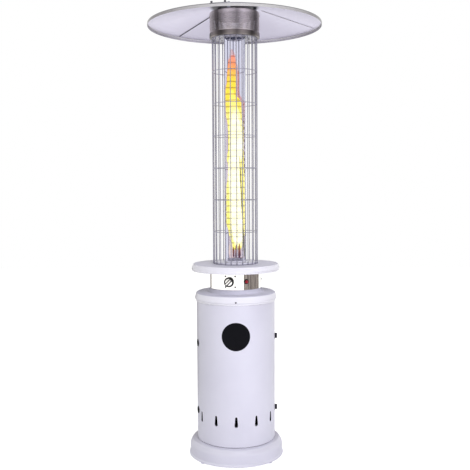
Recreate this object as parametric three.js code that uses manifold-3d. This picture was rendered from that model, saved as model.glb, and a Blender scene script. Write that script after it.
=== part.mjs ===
// Mushroom patio heater with a flame in a glass tube. Millimetres, +Z up.
// The origin is on the floor under the heater's axis, and the control panel faces -Y.
// Places round the axis are angles from the front toward +X, in degrees.
import * as THREE from "three";
import { mergeVertices } from "three/addons/utils/BufferGeometryUtils.js";
import Module from "manifold-3d";

const wasm = await Module();
wasm.setup();

// Shared sizes
const sheetWall = 1.2;
const fitGap = 0.3;
const cutOverrun = 6;
const shellSides = 30;
const bandSides = 60;
const dishSides = 48;
const columnSides = 24;
const smallSides = 12;
const holeSides = 6;
const screwHeadRadius = 4;
const screwHeadHeight = 2.4;
const screwShankRadius = 1.8;

// Base
const padHeight = 2.7;
const padRadius = 11;
const padCount = 4;
const padFirstAngle = 45;
const flareWidth = 4.8;
const hemRound = 2;
const hemWidth = 14;
const flareHeight = 4;
const stepHeight = 7;
const shoulderWidth = 34.8;
const baseWallTop = 45;
const shoulderHeight = 35;
const shoulderShares = [[0.06, 0.23], [0.31, 0.67], [0.52, 0.88], [0.72, 0.98]];
const collarHeight = 20;
const floorThickness = 2;

// Housing
const housingRadius = 186.5;
const doorSeam = 2;
const doorLift = 1.5;
const doorLength = 659.5;
const lintelHeight = 32;
const slotCount = 12;
const slotLift = 95;
const slotHeight = 49;
const slotWideRadius = 8;
const slotNarrowRadius = 5;
const slotSegments = 4;
const ventLift = 516.7;
const ventRadius = 65.5;
const ventLap = 6;
const ventSides = 24;
const screenThickness = 1;

// Door hinges, finger grommets and catch
const hingeLifts = [138.5, 486.5];
const hingeNames = ["lower", "upper"];
const hingeLength = 24;
const hingeStandOff = 7;
const knuckleRadius = 5;
const pinRadius = 2.5;
const leafThickness = 2;
const leafWidth = 18;
const leafInset = 2;
const gripLifts = [139.9, 463.1];
const gripAngle = -75;
const gripHoleRadius = 14;
const gripBoreRadius = 11.5;
const gripFlangeRadius = 17;
const gripFlangeThickness = 1.6;
const gripLipRadius = 15.6;
const gripSides = 16;
const catchLift = 318.5;
const catchLength = 44;
const catchWidth = 12;
const catchDepth = 14;
const strikerThickness = 2;

// Lid
const skirtClearance = 2.8;
const skirtLength = 7;
const beadDepth = 6;
const beadRise = 15;
const beadHalfHeight = 5;
const beadEdgeShare = 0.8;
const lidRimClearance = 2;
const lidRimRise = 24;
const lidEdgeRise = 3.5;
const lidEdgeInset = 6;
const coneWidth = 15.6;
const coneRise = 19.5;
const lidLedge = 17.4;
const lidScrewCount = 3;
const lidScrewLength = 11;

// Control band and plate
const bandRadius = 121.4;
const bandLength = 111.7;
const bandScrewAngle = 90;
const bandScrewLength = 6;
const plateAngle = -11.8;
const plateHalfAngle = 14.2;
const plateLift = 6.7;
const plateHeight = 65;
const plateThickness = 1.2;
const plateScrewInset = 7.5;
const plateScrewLength = 7;

// Gas valve and knob
const knobAngle = -14;
const knobLift = 37.7;
const knobRadius = 23.5;
const knobSkirtDepth = 6;
const knobFaceRadius = 20.5;
const knobFaceDepth = 2;
const knobPushTravel = 4;
const knobClearance = 0.5;
const knobGripWidth = 8;
const knobGripHeight = 9;
const knobGripTilt = 45;
const spindleWidth = 6;
const spindleReach = 8;
const spindleDepth = 15;
const valveRadius = 14;
const valveLength = 36;
const valveBackWall = 9;
const plugRadius = 9;
const valveInletRadius = 7;
const valveInletReach = 22;
const valveInletSetback = 27;
const gasBoreRadius = 3.5;
const plugFrontInset = 2;
const plugEndWall = 4;

// Igniter
const igniterAngle = 23.7;
const igniterLift = 38.7;
const bezelRadius = 12.3;
const bezelThickness = 2;
const sleeveRadius = 9;
const sleeveDepth = 8;
const buttonRadius = 7.3;
const buttonReach = 5;
const buttonTravel = 4.5;
const igniterBodyRadius = 8.6;
const igniterBodyLength = 36;

// Gas supply
const tailRadius = 4;
const tailBoreRadius = 2;
const barbRadius = 5.4;
const barbPitch = 7;
const barbCount = 4;
const tailNutRadius = 9;
const tailNutHeight = 9;
const pipeRadius = 4;
const pipeRise = 6;
const pipeRouteShares = [0.7, 0.25];
const pipeSteps = 18;
const pipeSides = 8;

// Burner
const bracketDrop = 21;
const bracketThickness = 1.5;
const bracketHoleRadius = 13;
const bracketHoleCount = 6;
const bracketHoleRing = 78;
const burnerRise = 33;
const burnerRadius = 38;
const burnerWall = 2;
const burnerSides = 16;
const burnerNeckRadius = 24;
const burnerNeckHeight = 18.2;
const burnerFlare = 11;
const burnerCrown = 4;
const burnerMouthRadius = 6;
const burnerInletRadius = 12;
const probeRing = 43;
const pilotAngle = 210;
const pilotRadius = 2.5;
const pilotLength = 46;
const thermocoupleAngle = 180;
const thermocoupleRadius = 1.6;
const thermocoupleLength = 52;
const electrodeAngle = 150;
const ceramicRadius = 3;
const ceramicLength = 36;
const electrodeTipRadius = 1;
const electrodeTipLength = 16;
const tiltSwitchWidth = 24;
const tiltSwitchDepth = 16;
const tiltSwitchHeight = 22;
const tiltSwitchRing = 60;

// Tray
const trayEdgeRadius = 203.3;
const trayBulgeRadius = 208.6;
const trayFootRadius = 206.8;
const trayDepth = 31.5;
const trayRollWidth = 4;
const trayBead = 2;
const trayGroove = 1.2;
const trayOpeningRadius = 52;
const trayShares = [[0.21, 1], [0.45, 1], [0.78, 0.11]];

// Glass tube and the deck that it stands on
const deckRadius = 100;
const deckHeight = 10;
const deckRound = 2;
const deckHoleRing = 93;
const deckHoleRadius = 3.4;
const deckHoleCount = 18;
const deckOpeningRadius = 47;
const glassRadius = 51;
const glassWall = 2.5;
const glassLength = 1056.9;
const glassReach = 11;
const retainerHeight = 6;
const retainerWall = 1.5;

// Wire guard
const guardRadius = 105;
const guardWire = 4.5;
const guardWireCount = 24;
const guardTurn = 3.75;
const guardRingCount = 8;

// Head
const headRadius = 117.6;
const headWall = 1;
const headFloorRadius = 107;
const headTurnShares = [[0.62, 0.2], [0.94, 0.6]];
const headTurnHeight = 9;
const headRimHeight = 22;
const headScreenRise = 81;
const headSkirtHeight = 9;
const headCrownHeight = 9;
const headCrownInset = 15.6;
const crownShares = [[0.1, 0.45], [0.4, 0.85]];
const ventRingRadius = 97;
const ventRingHoleRadius = 3;
const ventRingCount = 28;
const flueRingRadius = 68;
const flueHoleRadius = 5;
const flueHoleCount = 24;
const glassCollarWidth = 6;
const glassCollarHeight = 10;

// Reflector
const dishRadius = 406.5;
const dishFlatRadius = 110;
const dishClearance = 23;
const dishWall = 1;
const dishDrop = 77;
const dishRimHeight = 14;
const dishRimRound = 3;
const dishCentreHole = 12;
const panelCount = 3;
const seamFirstAngle = -15;
const studInset = 10;
const studRadius = 3.5;
const spacerRadius = 8;
const studNutRadius = 6.5;
const studNutHeight = 4.5;
const clampShare = 0.536;
const clampLength = 74;
const clampWidth = 20;
const clampThickness = 1.5;
const clampNutSpacing = 61;
const clampNutRadius = 5;
const clampNutHeight = 8;

const steel = { color: 0xe9e8f4, roughness: 0.38, metalness: 0.85 };
const mirrorSteel = { color: 0xdcdbd8, roughness: 0.12, metalness: 1 };
const headSteel = { color: 0x7c757c, roughness: 0.4, metalness: 1 };
const dishAluminium = { color: 0xd2cfdf, roughness: 0.25, metalness: 1 };
const zincSteel = { color: 0xa7a8ad, roughness: 0.5, metalness: 0.9 };
const castIron = { color: 0x4a4a4d, roughness: 0.7, metalness: 0.7 };
const brass = { color: 0xb08d57, roughness: 0.4, metalness: 1 };
const blackPlastic = { color: 0x202024, roughness: 0.5, metalness: 0 };
const rubber = { color: 0x1b1b1d, roughness: 0.9, metalness: 0 };
const ventBlack = { color: 0x191923, roughness: 0.6, metalness: 0.3 };
const redPlastic = { color: 0xa5232b, roughness: 0.35, metalness: 0 };
const ceramic = { color: 0xefe9dc, roughness: 0.6, metalness: 0 };
const glass = { color: 0xeef4f6, roughness: 0.05, metalness: 0 };

const heater = new THREE.Group();
const mergeTolerance = 1e-4;

function radians(degrees) {
  return THREE.MathUtils.degToRad(degrees);
}

function signedVolume(position, triangles) {
  const [a, b, c] = [new THREE.Vector3(), new THREE.Vector3(), new THREE.Vector3()];
  let sum = 0;
  for (let i = 0; i < triangles.length; i += 3) {
    a.fromArray(position, 3 * triangles[i]);
    b.fromArray(position, 3 * triangles[i + 1]);
    c.fromArray(position, 3 * triangles[i + 2]);
    sum += a.dot(b.cross(c));
  }
  return sum;
}

// A closed solid from any closed geometry, with its faces turned outward.
function solid(geometry) {
  geometry.deleteAttribute("normal");
  geometry.deleteAttribute("uv");
  const merged = mergeVertices(geometry, mergeTolerance);
  const position = merged.attributes.position.array;
  const index = merged.index.array;
  const kept = [];
  for (let i = 0; i < index.length; i += 3) {
    const [a, b, c] = [index[i], index[i + 1], index[i + 2]];
    if (a !== b && b !== c && a !== c) kept.push(a, b, c);
  }
  if (signedVolume(position, kept) < 0) kept.reverse();
  const mesh = new wasm.Mesh({
    numProp: 3,
    vertProperties: Float32Array.from(position),
    triVerts: Uint32Array.from(kept),
  });
  mesh.merge();
  return new wasm.Manifold(mesh);
}

function add(name, body, finish, place = new THREE.Matrix4()) {
  const { vertProperties, triVerts } = body.getMesh();
  const geometry = new THREE.BufferGeometry();
  geometry.setAttribute("position", new THREE.BufferAttribute(Float32Array.from(vertProperties), 3));
  geometry.setIndex(new THREE.BufferAttribute(Uint32Array.from(triVerts), 1));
  geometry.computeVertexNormals();
  const mesh = new THREE.Mesh(geometry, new THREE.MeshStandardMaterial(finish));
  mesh.name = name;
  mesh.applyMatrix4(place);
  heater.add(mesh);
}

function moved(body, place) {
  return body.transform(place.elements);
}

// A body of revolution about Z from [radius, height] points.
function turned(points, sides) {
  const geometry = new THREE.LatheGeometry(points.map(([r, z]) => new THREE.Vector2(r, z)), sides);
  return solid(geometry.rotateX(Math.PI / 2));
}

function rod(radius, from, to, sides = smallSides) {
  return turned([[0, from], [radius, from], [radius, to], [0, to]], sides);
}

function ring(inner, outer, from, to, sides) {
  return turned([[inner, from], [outer, from], [outer, to], [inner, to], [inner, from]], sides);
}

function block(x0, x1, y0, y1, z0, z1) {
  const box = new THREE.BoxGeometry(x1 - x0, y1 - y0, z1 - z0);
  return solid(box.translate((x0 + x1) / 2, (y0 + y1) / 2, (z0 + z1) / 2));
}

// The profile of a sheet: its outer skin runs up and then in toward the axis.
function sheet(skin, wall) {
  const points = skin.map(([r, z]) => new THREE.Vector2(r, z));
  const normals = points.slice(1).map((p, i) => {
    const along = p.clone().sub(points[i]).normalize();
    return new THREE.Vector2(-along.y, along.x);
  });
  const inside = points.map((p, i) => {
    const before = normals[Math.max(i - 1, 0)];
    const after = normals[Math.min(i, normals.length - 1)];
    const miter = before.clone().add(after).divideScalar(1 + before.dot(after));
    return p.clone().addScaledVector(miter, wall);
  });
  return [...points, ...inside.reverse(), points[0]].map((p) => [p.x, p.y]);
}

function direction(angle) {
  return new THREE.Vector3(Math.sin(radians(angle)), -Math.cos(radians(angle)), 0);
}

// A frame on a wall round the axis: x runs along the wall, y up and z straight out.
function onWall(angle, radius, height) {
  const out = direction(angle);
  const up = new THREE.Vector3(0, 0, 1);
  const along = up.clone().cross(out);
  const place = new THREE.Matrix4().makeBasis(along, up, out);
  return place.setPosition(out.multiplyScalar(radius).add(new THREE.Vector3(0, 0, height)));
}

// An upright frame at a place round the axis.
function standing(angle, radius, height) {
  const foot = direction(angle).multiplyScalar(radius);
  return new THREE.Matrix4().makeTranslation(foot.x, foot.y, height);
}

// How far a faceted wall lies inside its true round at the middle of a facet.
function facetSag(radius, sides) {
  return radius * (1 - Math.cos(Math.PI / sides));
}

// How far out a flat of this half width may stand behind a round wall.
function flatBehind(radius, halfWidth, sides) {
  return Math.sqrt(radius ** 2 - halfWidth ** 2) - facetSag(radius, sides) - fitGap;
}

function wallHole(angle, radius, height, holeRadius, sides = smallSides) {
  return moved(rod(holeRadius, -cutOverrun, cutOverrun, sides), onWall(angle, radius, height));
}

function roundHoles(body, count, ringRadius, holeRadius, from, to, sides) {
  const hole = rod(holeRadius, from - cutOverrun, to + cutOverrun, sides);
  let left = body;
  for (let i = 0; i < count; i += 1) {
    left = left.subtract(moved(hole, standing((360 * i) / count, ringRadius, 0)));
  }
  return left;
}

function screw(length) {
  return rod(screwHeadRadius, fitGap, fitGap + screwHeadHeight).add(rod(screwShankRadius, -length, fitGap));
}

// Base
const baseBottom = padHeight + fitGap;
const baseTop = baseWallTop + shoulderHeight;
const baseWallRadius = housingRadius + shoulderWidth;
const flareRadius = baseWallRadius + flareWidth;
const floorBottom = baseBottom + sheetWall + fitGap;
const floorTop = floorBottom + floorThickness;
const housingInner = housingRadius - sheetWall;
const collarRadius = housingInner - 2 * fitGap;

function makeBase() {
  const shoulder = shoulderShares.map(([inShare, upShare]) => [
    baseWallRadius - inShare * (baseWallRadius - housingRadius),
    baseWallTop + upShare * shoulderHeight,
  ]);
  const skin = [
    [flareRadius - hemWidth, baseBottom],
    [flareRadius - hemRound, baseBottom],
    [flareRadius, baseBottom + hemRound],
    [flareRadius, baseBottom + flareHeight],
    [baseWallRadius, baseBottom + flareHeight + stepHeight],
    [baseWallRadius, baseWallTop],
    ...shoulder,
    [housingRadius, baseTop],
    [collarRadius, baseTop],
    [collarRadius, baseTop + collarHeight],
  ];
  add("base_cover", turned(sheet(skin, sheetWall), shellSides), steel);
  const floorRadius = baseWallRadius - sheetWall - facetSag(baseWallRadius, shellSides) - fitGap;
  add("floor_plate", rod(floorRadius, floorBottom, floorTop, shellSides), zincSteel);
  const padRing = flareRadius - hemWidth / 2;
  for (let i = 0; i < padCount; i += 1) {
    const angle = padFirstAngle + (360 * i) / padCount;
    add(`foot_pad_${i + 1}`, rod(padRadius, 0, padHeight), rubber, standing(angle, padRing, 0));
  }
}

// Housing
const doorBottom = baseTop + doorLift;
const doorTop = doorBottom + doorLength;
const skirtBottom = doorTop + doorSeam / 2;
const lintelBottom = doorTop + doorSeam;
const skirtRadius = housingRadius + skirtClearance;
const beadRadius = skirtRadius + beadDepth;
const beadHeight = skirtBottom + beadRise;
const ventHeight = doorBottom + ventLift;
const housingTop = lintelBottom + lintelHeight;
const reach = dishRadius;

function ventSlot(angle) {
  const shape = new THREE.Shape();
  shape.absarc(0, slotWideRadius, slotWideRadius, Math.PI, 2 * Math.PI);
  shape.absarc(0, slotHeight - slotNarrowRadius, slotNarrowRadius, 0, Math.PI);
  const settings = { depth: 2 * cutOverrun, bevelEnabled: false, curveSegments: slotSegments };
  const cutter = solid(new THREE.ExtrudeGeometry(shape, settings).translate(0, 0, -cutOverrun));
  return moved(cutter, onWall(angle, housingRadius, doorBottom + slotLift));
}

// The slots that would fall on a door seam are left out, so that each one is whole.
function cutSlots(shell, isFront) {
  let left = shell;
  for (let i = 0; i < slotCount; i += 1) {
    const angle = (360 * i) / slotCount;
    const facing = Math.cos(radians(angle));
    const onSeam = Math.abs(facing) < Math.sin(radians(180 / slotCount));
    if (!onSeam && facing > 0 === isFront) left = left.subtract(ventSlot(angle));
  }
  return left;
}

function makeHousing() {
  const bottom = baseTop + fitGap;
  const rearTube = ring(housingInner, housingRadius, bottom, housingTop, shellSides);
  const doorway = block(-reach, reach, -reach, doorSeam / 2, 0, lintelBottom);
  let rear = cutSlots(rearTube.subtract(doorway), false);
  for (let i = 0; i < lidScrewCount; i += 1) {
    const angle = (360 * i) / lidScrewCount;
    rear = rear.subtract(wallHole(angle, housingRadius, beadHeight, screwShankRadius + fitGap));
  }
  add("housing_rear", rear, steel);

  const doorTube = ring(housingInner, housingRadius, doorBottom, doorTop, shellSides);
  const frontHalf = block(-reach, reach, -reach, -doorSeam / 2, 0, skirtBottom);
  let door = cutSlots(doorTube.intersect(frontHalf), true);
  const ventPlace = onWall(0, housingRadius, ventHeight);
  door = door.subtract(moved(rod(ventRadius, -housingRadius, cutOverrun, ventSides), ventPlace));
  for (const lift of gripLifts) {
    door = door.subtract(wallHole(gripAngle, housingRadius, doorBottom + lift, gripHoleRadius, gripSides));
  }
  add("housing_door", door, steel);

  const screenOuter = housingInner - fitGap;
  const screenTube = ring(screenOuter - screenThickness, screenOuter, ventHeight - ventRadius - ventLap,
    ventHeight + ventRadius + ventLap, shellSides);
  const screenDisc = moved(rod(ventRadius + ventLap, -housingRadius, cutOverrun, ventSides), ventPlace);
  add("vent_screen", screenTube.intersect(screenDisc), ventBlack);
}

function makeHinge(name, height) {
  const half = hingeLength / 2;
  const axisX = housingRadius + hingeStandOff;
  const inner = housingRadius - facetSag(housingRadius, shellSides) + fitGap;
  const axis = new THREE.Matrix4().makeTranslation(axisX, 0, height);
  const webReach = leafInset + leafThickness;
  const frameLeaf = block(inner, inner + leafThickness, leafInset, leafInset + leafWidth, -half, half);
  const frameWeb = block(inner, axisX, leafInset, webReach, -half, -fitGap / 2);
  const knuckle = rod(knuckleRadius, -half, -fitGap / 2);
  const pin = rod(pinRadius, -half, half);
  const lift = new THREE.Matrix4().makeTranslation(0, 0, height);
  const frame = moved(frameLeaf.add(frameWeb), lift).add(moved(knuckle.add(pin), axis));
  add(`hinge_frame_leaf_${name}`, frame, castIron);

  const doorLeaf = block(inner, inner + leafThickness, -leafInset - leafWidth, -leafInset, -half, half);
  const doorWeb = block(inner, axisX, -webReach, -leafInset, fitGap / 2, half);
  const bore = moved(rod(pinRadius + fitGap, -hingeLength, hingeLength), axis);
  const socket = moved(rod(knuckleRadius, fitGap / 2, half), axis);
  add(`hinge_door_leaf_${name}`, moved(doorLeaf.add(doorWeb), lift).add(socket).subtract(bore), castIron);
}

function makeGrommet(name, height) {
  const sleeve = gripHoleRadius - fitGap;
  const back = flatBehind(housingInner, gripLipRadius, shellSides) - housingRadius;
  const lipBack = back - gripFlangeThickness;
  const front = fitGap;
  const profile = [
    [gripBoreRadius, lipBack],
    [gripLipRadius, lipBack],
    [gripLipRadius, back],
    [sleeve, back],
    [sleeve, front],
    [gripFlangeRadius, front],
    [gripFlangeRadius, front + gripFlangeThickness],
    [gripBoreRadius, front + gripFlangeThickness],
    [gripBoreRadius, lipBack],
  ];
  add(`finger_grommet_${name}`, turned(profile, gripSides), rubber, onWall(gripAngle, housingRadius, height));
}

function makeCatch() {
  const outer = -flatBehind(housingInner, catchWidth + fitGap, shellSides);
  const low = doorBottom + catchLift - catchLength / 2;
  const high = low + catchLength;
  const face = fitGap / 2;
  const magnet = block(outer, outer + catchDepth, face, face + catchWidth, low, high);
  add("catch_magnet", magnet, blackPlastic);
  const plate = block(outer, outer + catchDepth, -face - strikerThickness, -face, low, high);
  const foot = block(outer, outer + strikerThickness, -face - catchWidth, -face, low, high);
  add("catch_striker", plate.add(foot), zincSteel);
}

// Lid
const lidRimRadius = housingRadius + lidRimClearance;
const lidRimHeight = beadHeight + lidRimRise;
const lidTopHeight = lidRimHeight + lidEdgeRise;
const coneTopHeight = lidTopHeight + coneRise;

function makeLid() {
  const beadEdge = skirtRadius + beadEdgeShare * (beadRadius - skirtRadius);
  const skin = [
    [skirtRadius, skirtBottom],
    [skirtRadius, skirtBottom + skirtLength],
    [beadEdge, beadHeight - beadHalfHeight],
    [beadRadius, beadHeight],
    [beadEdge, beadHeight + beadHalfHeight],
    [lidRimRadius, lidRimHeight],
    [lidRimRadius - lidEdgeInset, lidTopHeight],
    [bandRadius + coneWidth, lidTopHeight],
    [bandRadius, coneTopHeight],
    [bandRadius - lidLedge, coneTopHeight],
  ];
  let lid = turned(sheet(skin, sheetWall), shellSides);
  for (let i = 0; i < lidScrewCount; i += 1) {
    const angle = (360 * i) / lidScrewCount;
    lid = lid.subtract(wallHole(angle, beadRadius, beadHeight, screwShankRadius + fitGap));
    add(`lid_screw_${i + 1}`, screw(lidScrewLength), castIron, onWall(angle, beadRadius, beadHeight));
  }
  add("housing_lid", lid, steel);
}

// Control band and plate
const bandBottom = coneTopHeight + fitGap;
const bandTop = bandBottom + bandLength;
const bandInner = bandRadius - sheetWall;
const plateBottom = bandBottom + plateLift;
const plateTop = plateBottom + plateHeight;
const knobHeight = bandBottom + knobLift;
const igniterHeight = bandBottom + igniterLift;
const plateInner = bandRadius + fitGap;
const plateOuter = plateInner + plateThickness;

function plateCorners() {
  const insetAngle = THREE.MathUtils.radToDeg(plateScrewInset / plateOuter);
  const sides = [plateAngle - plateHalfAngle + insetAngle, plateAngle + plateHalfAngle - insetAngle];
  const heights = [plateBottom + plateScrewInset, plateTop - plateScrewInset];
  return sides.flatMap((angle) => heights.map((height) => [angle, height]));
}

function makeControlBand() {
  const spindleHole = wallHole(knobAngle, bandRadius, knobHeight, spindleWidth);
  const screwHoles = plateCorners().map(([angle, height]) =>
    wallHole(angle, bandRadius, height, screwShankRadius + fitGap));
  let band = ring(bandInner, bandRadius, bandBottom, bandTop, bandSides).subtract(spindleHole);
  band = band.subtract(wallHole(igniterAngle, bandRadius, igniterHeight, sleeveRadius + fitGap, columnSides));
  band = band.subtract(wallHole(bandScrewAngle, bandRadius, knobHeight, screwShankRadius + fitGap));
  const halfWidth = plateOuter * Math.sin(radians(plateHalfAngle));
  const window = block(-halfWidth, halfWidth, 0, plateHeight, -cutOverrun, cutOverrun);
  let plate = ring(plateInner, plateOuter, plateBottom, plateTop, bandSides);
  plate = plate.intersect(moved(window, onWall(plateAngle, plateInner, plateBottom))).subtract(spindleHole);
  for (const hole of screwHoles) {
    band = band.subtract(hole);
    plate = plate.subtract(hole);
  }
  add("control_band", band, mirrorSteel);
  add("control_plate", plate, mirrorSteel);
  plateCorners().forEach(([angle, height], i) => {
    add(`plate_screw_${i + 1}`, screw(plateScrewLength), castIron, onWall(angle, plateOuter, height));
  });
  add("band_screw", screw(bandScrewLength), castIron, onWall(bandScrewAngle, bandRadius, knobHeight));
}

// Gas valve and knob, along the knob's axis from the band's outer face
const valveFront = flatBehind(bandInner, valveRadius, bandSides) - bandRadius;
const valveBack = valveFront - valveLength;
const knobBack = fitGap + plateThickness + knobPushTravel + knobClearance;
const knobFace = knobBack + knobSkirtDepth + knobFaceDepth;

function squareBar(width, from, to) {
  return block(-width / 2, width / 2, -width / 2, width / 2, from, to);
}

function makeValve() {
  const place = onWall(knobAngle, bandRadius, knobHeight);
  const boreBack = valveBack + valveBackWall;
  const inletTurn = new THREE.Matrix4().makeRotationX(Math.PI / 2);
  const inletPlace = inletTurn.setPosition(0, 0, valveFront - valveInletSetback);
  const inlet = moved(rod(valveInletRadius, 0, valveInletReach), inletPlace);
  const inletBore = moved(rod(gasBoreRadius, 0, valveInletReach + cutOverrun), inletPlace);
  const body = rod(valveRadius, valveBack, valveFront).add(inlet).subtract(inletBore)
    .subtract(rod(plugRadius + fitGap, boreBack, valveFront + cutOverrun, columnSides))
    .subtract(rod(gasBoreRadius, valveBack - cutOverrun, valveFront));
  add("gas_valve_body", body, brass, place);

  const plugFront = valveFront - plugFrontInset;
  const plugBack = boreBack + fitGap;
  const keyway = squareBar(spindleWidth + 2 * fitGap, plugBack + plugEndWall, valveFront);
  add("gas_valve_plug", rod(plugRadius, plugBack, plugFront, columnSides).subtract(keyway), brass, place);
  const spindleEnd = knobBack + spindleReach - fitGap;
  add("gas_valve_spindle", squareBar(spindleWidth, -spindleDepth, spindleEnd), zincSteel, place);

  const grip = block(-knobFaceRadius, knobFaceRadius, -knobGripWidth / 2, knobGripWidth / 2,
    knobBack, knobFace + knobGripHeight);
  const turn = new THREE.Matrix4().makeRotationZ(radians(knobGripTilt));
  const socket = squareBar(spindleWidth + 2 * fitGap, knobBack - cutOverrun, knobBack + spindleReach);
  const knob = rod(knobRadius, knobBack, knobBack + knobSkirtDepth, columnSides)
    .add(rod(knobFaceRadius, knobBack, knobFace, columnSides))
    .add(moved(grip, turn))
    .subtract(socket);
  add("control_knob", knob, blackPlastic, place);

  const tailTop = knobHeight - valveInletReach - fitGap;
  const tailRing = bandRadius + valveFront - valveInletSetback;
  add("hose_tail", hoseTail(), brass, standing(knobAngle, tailRing, tailTop));
  add("gas_pipe", gasPipe(), brass);
}

function hoseTail() {
  const barbs = [];
  for (let i = 0; i < barbCount; i += 1) {
    const top = -tailNutHeight - i * barbPitch;
    barbs.push([barbRadius, top], [tailRadius, top - barbPitch]);
  }
  const end = -tailNutHeight - barbCount * barbPitch;
  return turned([[tailBoreRadius, 0], [tailNutRadius, 0], [tailNutRadius, -tailNutHeight], ...barbs,
    [tailBoreRadius, end], [tailBoreRadius, 0]], smallSides);
}

function gasPipe() {
  const out = direction(knobAngle);
  const start = bandRadius + valveBack - fitGap;
  const at = (radius, height) => out.clone().multiplyScalar(radius).setZ(height);
  const turnTop = knobHeight + pipeRise;
  const end = bracketHeight + bracketThickness;
  const route = new THREE.CatmullRomCurve3([
    at(start, knobHeight),
    at(start * pipeRouteShares[0], knobHeight),
    at(start * pipeRouteShares[1], knobHeight + pipeRise / 2),
    at(0, turnTop + 2 * pipeRadius),
    at(0, (turnTop + end) / 2),
    at(0, end),
  ]);
  const section = new THREE.Shape().absarc(0, 0, pipeRadius, 0, 2 * Math.PI);
  const curveSegments = pipeSides / 2;
  const settings = { steps: pipeSteps, extrudePath: route, curveSegments, bevelEnabled: false };
  return solid(new THREE.ExtrudeGeometry(section, settings));
}

// Igniter
function makeIgniter() {
  const place = onWall(igniterAngle, bandRadius, igniterHeight);
  const bore = buttonRadius + fitGap;
  const top = fitGap + bezelThickness;
  const bezel = turned([
    [bore, -sleeveDepth], [sleeveRadius, -sleeveDepth], [sleeveRadius, fitGap],
    [bezelRadius, fitGap], [bezelRadius, top], [bore, top], [bore, -sleeveDepth],
  ], columnSides);
  add("igniter_bezel", bezel, blackPlastic, place);
  const bodyFront = -sleeveDepth - fitGap;
  add("igniter_body", rod(igniterBodyRadius, bodyFront - igniterBodyLength, bodyFront), blackPlastic, place);
  const buttonBack = bodyFront + buttonTravel + fitGap;
  add("igniter_button", rod(buttonRadius, buttonBack, top + buttonReach, columnSides), redPlastic, place);
}

// Burner, on a bracket across the band
const bracketHeight = bandTop - bracketDrop;

function makeBurner() {
  const bracketTop = bracketHeight + bracketThickness;
  const bracketRadius = bandInner - facetSag(bandInner, bandSides) - fitGap;
  let bracket = ring(burnerInletRadius, bracketRadius, bracketHeight, bracketTop, shellSides);
  bracket = roundHoles(bracket, bracketHoleCount, bracketHoleRing, bracketHoleRadius,
    bracketHeight, bracketTop, holeSides);
  add("burner_bracket", bracket, zincSteel);

  const foot = bracketTop + fitGap;
  const burnerNeckTop = foot + burnerNeckHeight;
  const burnerTop = bandTop + burnerRise;
  const headFoot = burnerNeckTop + burnerFlare;
  const crown = burnerTop - burnerCrown;
  const skin = [
    [burnerInletRadius, foot],
    [burnerNeckRadius, foot],
    [burnerNeckRadius, burnerNeckTop],
    [burnerRadius, headFoot],
    [burnerRadius, crown],
    [burnerRadius - burnerCrown, burnerTop],
    [burnerMouthRadius, burnerTop],
  ];
  add("burner_cup", turned(sheet(skin, burnerWall), burnerSides), castIron);

  const probe = (angle) => standing(angle, probeRing, foot);
  add("pilot_tube", rod(pilotRadius, 0, pilotLength), zincSteel, probe(pilotAngle));
  add("thermocouple", rod(thermocoupleRadius, 0, thermocoupleLength), brass, probe(thermocoupleAngle));
  const electrode = rod(ceramicRadius, 0, ceramicLength)
    .add(rod(electrodeTipRadius, 0, ceramicLength + electrodeTipLength));
  add("spark_electrode", electrode, ceramic, probe(electrodeAngle));
  const halfWidth = tiltSwitchWidth / 2;
  const halfDepth = tiltSwitchDepth / 2;
  const tiltSwitch = block(-halfWidth, halfWidth, -halfDepth, halfDepth, -tiltSwitchHeight, 0);
  add("tilt_switch", tiltSwitch, blackPlastic, standing(180, tiltSwitchRing, bracketHeight - fitGap));
}

// Tray
const trayTop = bandTop + fitGap + sheetWall;
const trayBottom = trayTop - trayDepth;

function makeTray() {
  const beadFoot = trayTop - 2 * trayBead - trayGroove;
  const skirt = trayShares.map(([upShare, outShare]) => [
    trayFootRadius + outShare * (trayBulgeRadius - trayFootRadius),
    trayBottom + upShare * (beadFoot - trayBottom),
  ]);
  const skin = [
    [trayFootRadius - trayRollWidth, trayBottom],
    [trayFootRadius, trayBottom],
    ...skirt,
    [trayEdgeRadius, beadFoot],
    [trayEdgeRadius - trayGroove, beadFoot + trayGroove],
    [trayEdgeRadius, trayTop - trayBead],
    [trayEdgeRadius - trayBead, trayTop],
    [trayOpeningRadius, trayTop],
  ];
  add("tray", turned(sheet(skin, sheetWall), shellSides), steel);
}

// Glass tube on its deck
const deckBottom = trayTop + fitGap;
const deckTop = deckBottom + deckHeight;
const glassFoot = deckTop + fitGap;
const headUnderside = glassFoot + glassLength - glassReach;

function makeGlass() {
  const skin = [
    [deckRadius, deckBottom],
    [deckRadius, deckTop - deckRound],
    [deckRadius - deckRound, deckTop],
    [deckOpeningRadius, deckTop],
  ];
  const retainerInner = glassRadius + fitGap;
  const retainer = ring(retainerInner, retainerInner + retainerWall, deckTop - sheetWall / 2,
    deckTop + retainerHeight, columnSides);
  const deck = roundHoles(turned(sheet(skin, sheetWall), columnSides), deckHoleCount, deckHoleRing,
    deckHoleRadius, deckBottom, deckTop, holeSides);
  add("tube_deck", deck.add(retainer), steel);
  const tube = ring(glassRadius - glassWall, glassRadius, glassFoot, glassFoot + glassLength, columnSides);
  add("glass_tube", tube, glass);
}

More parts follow.
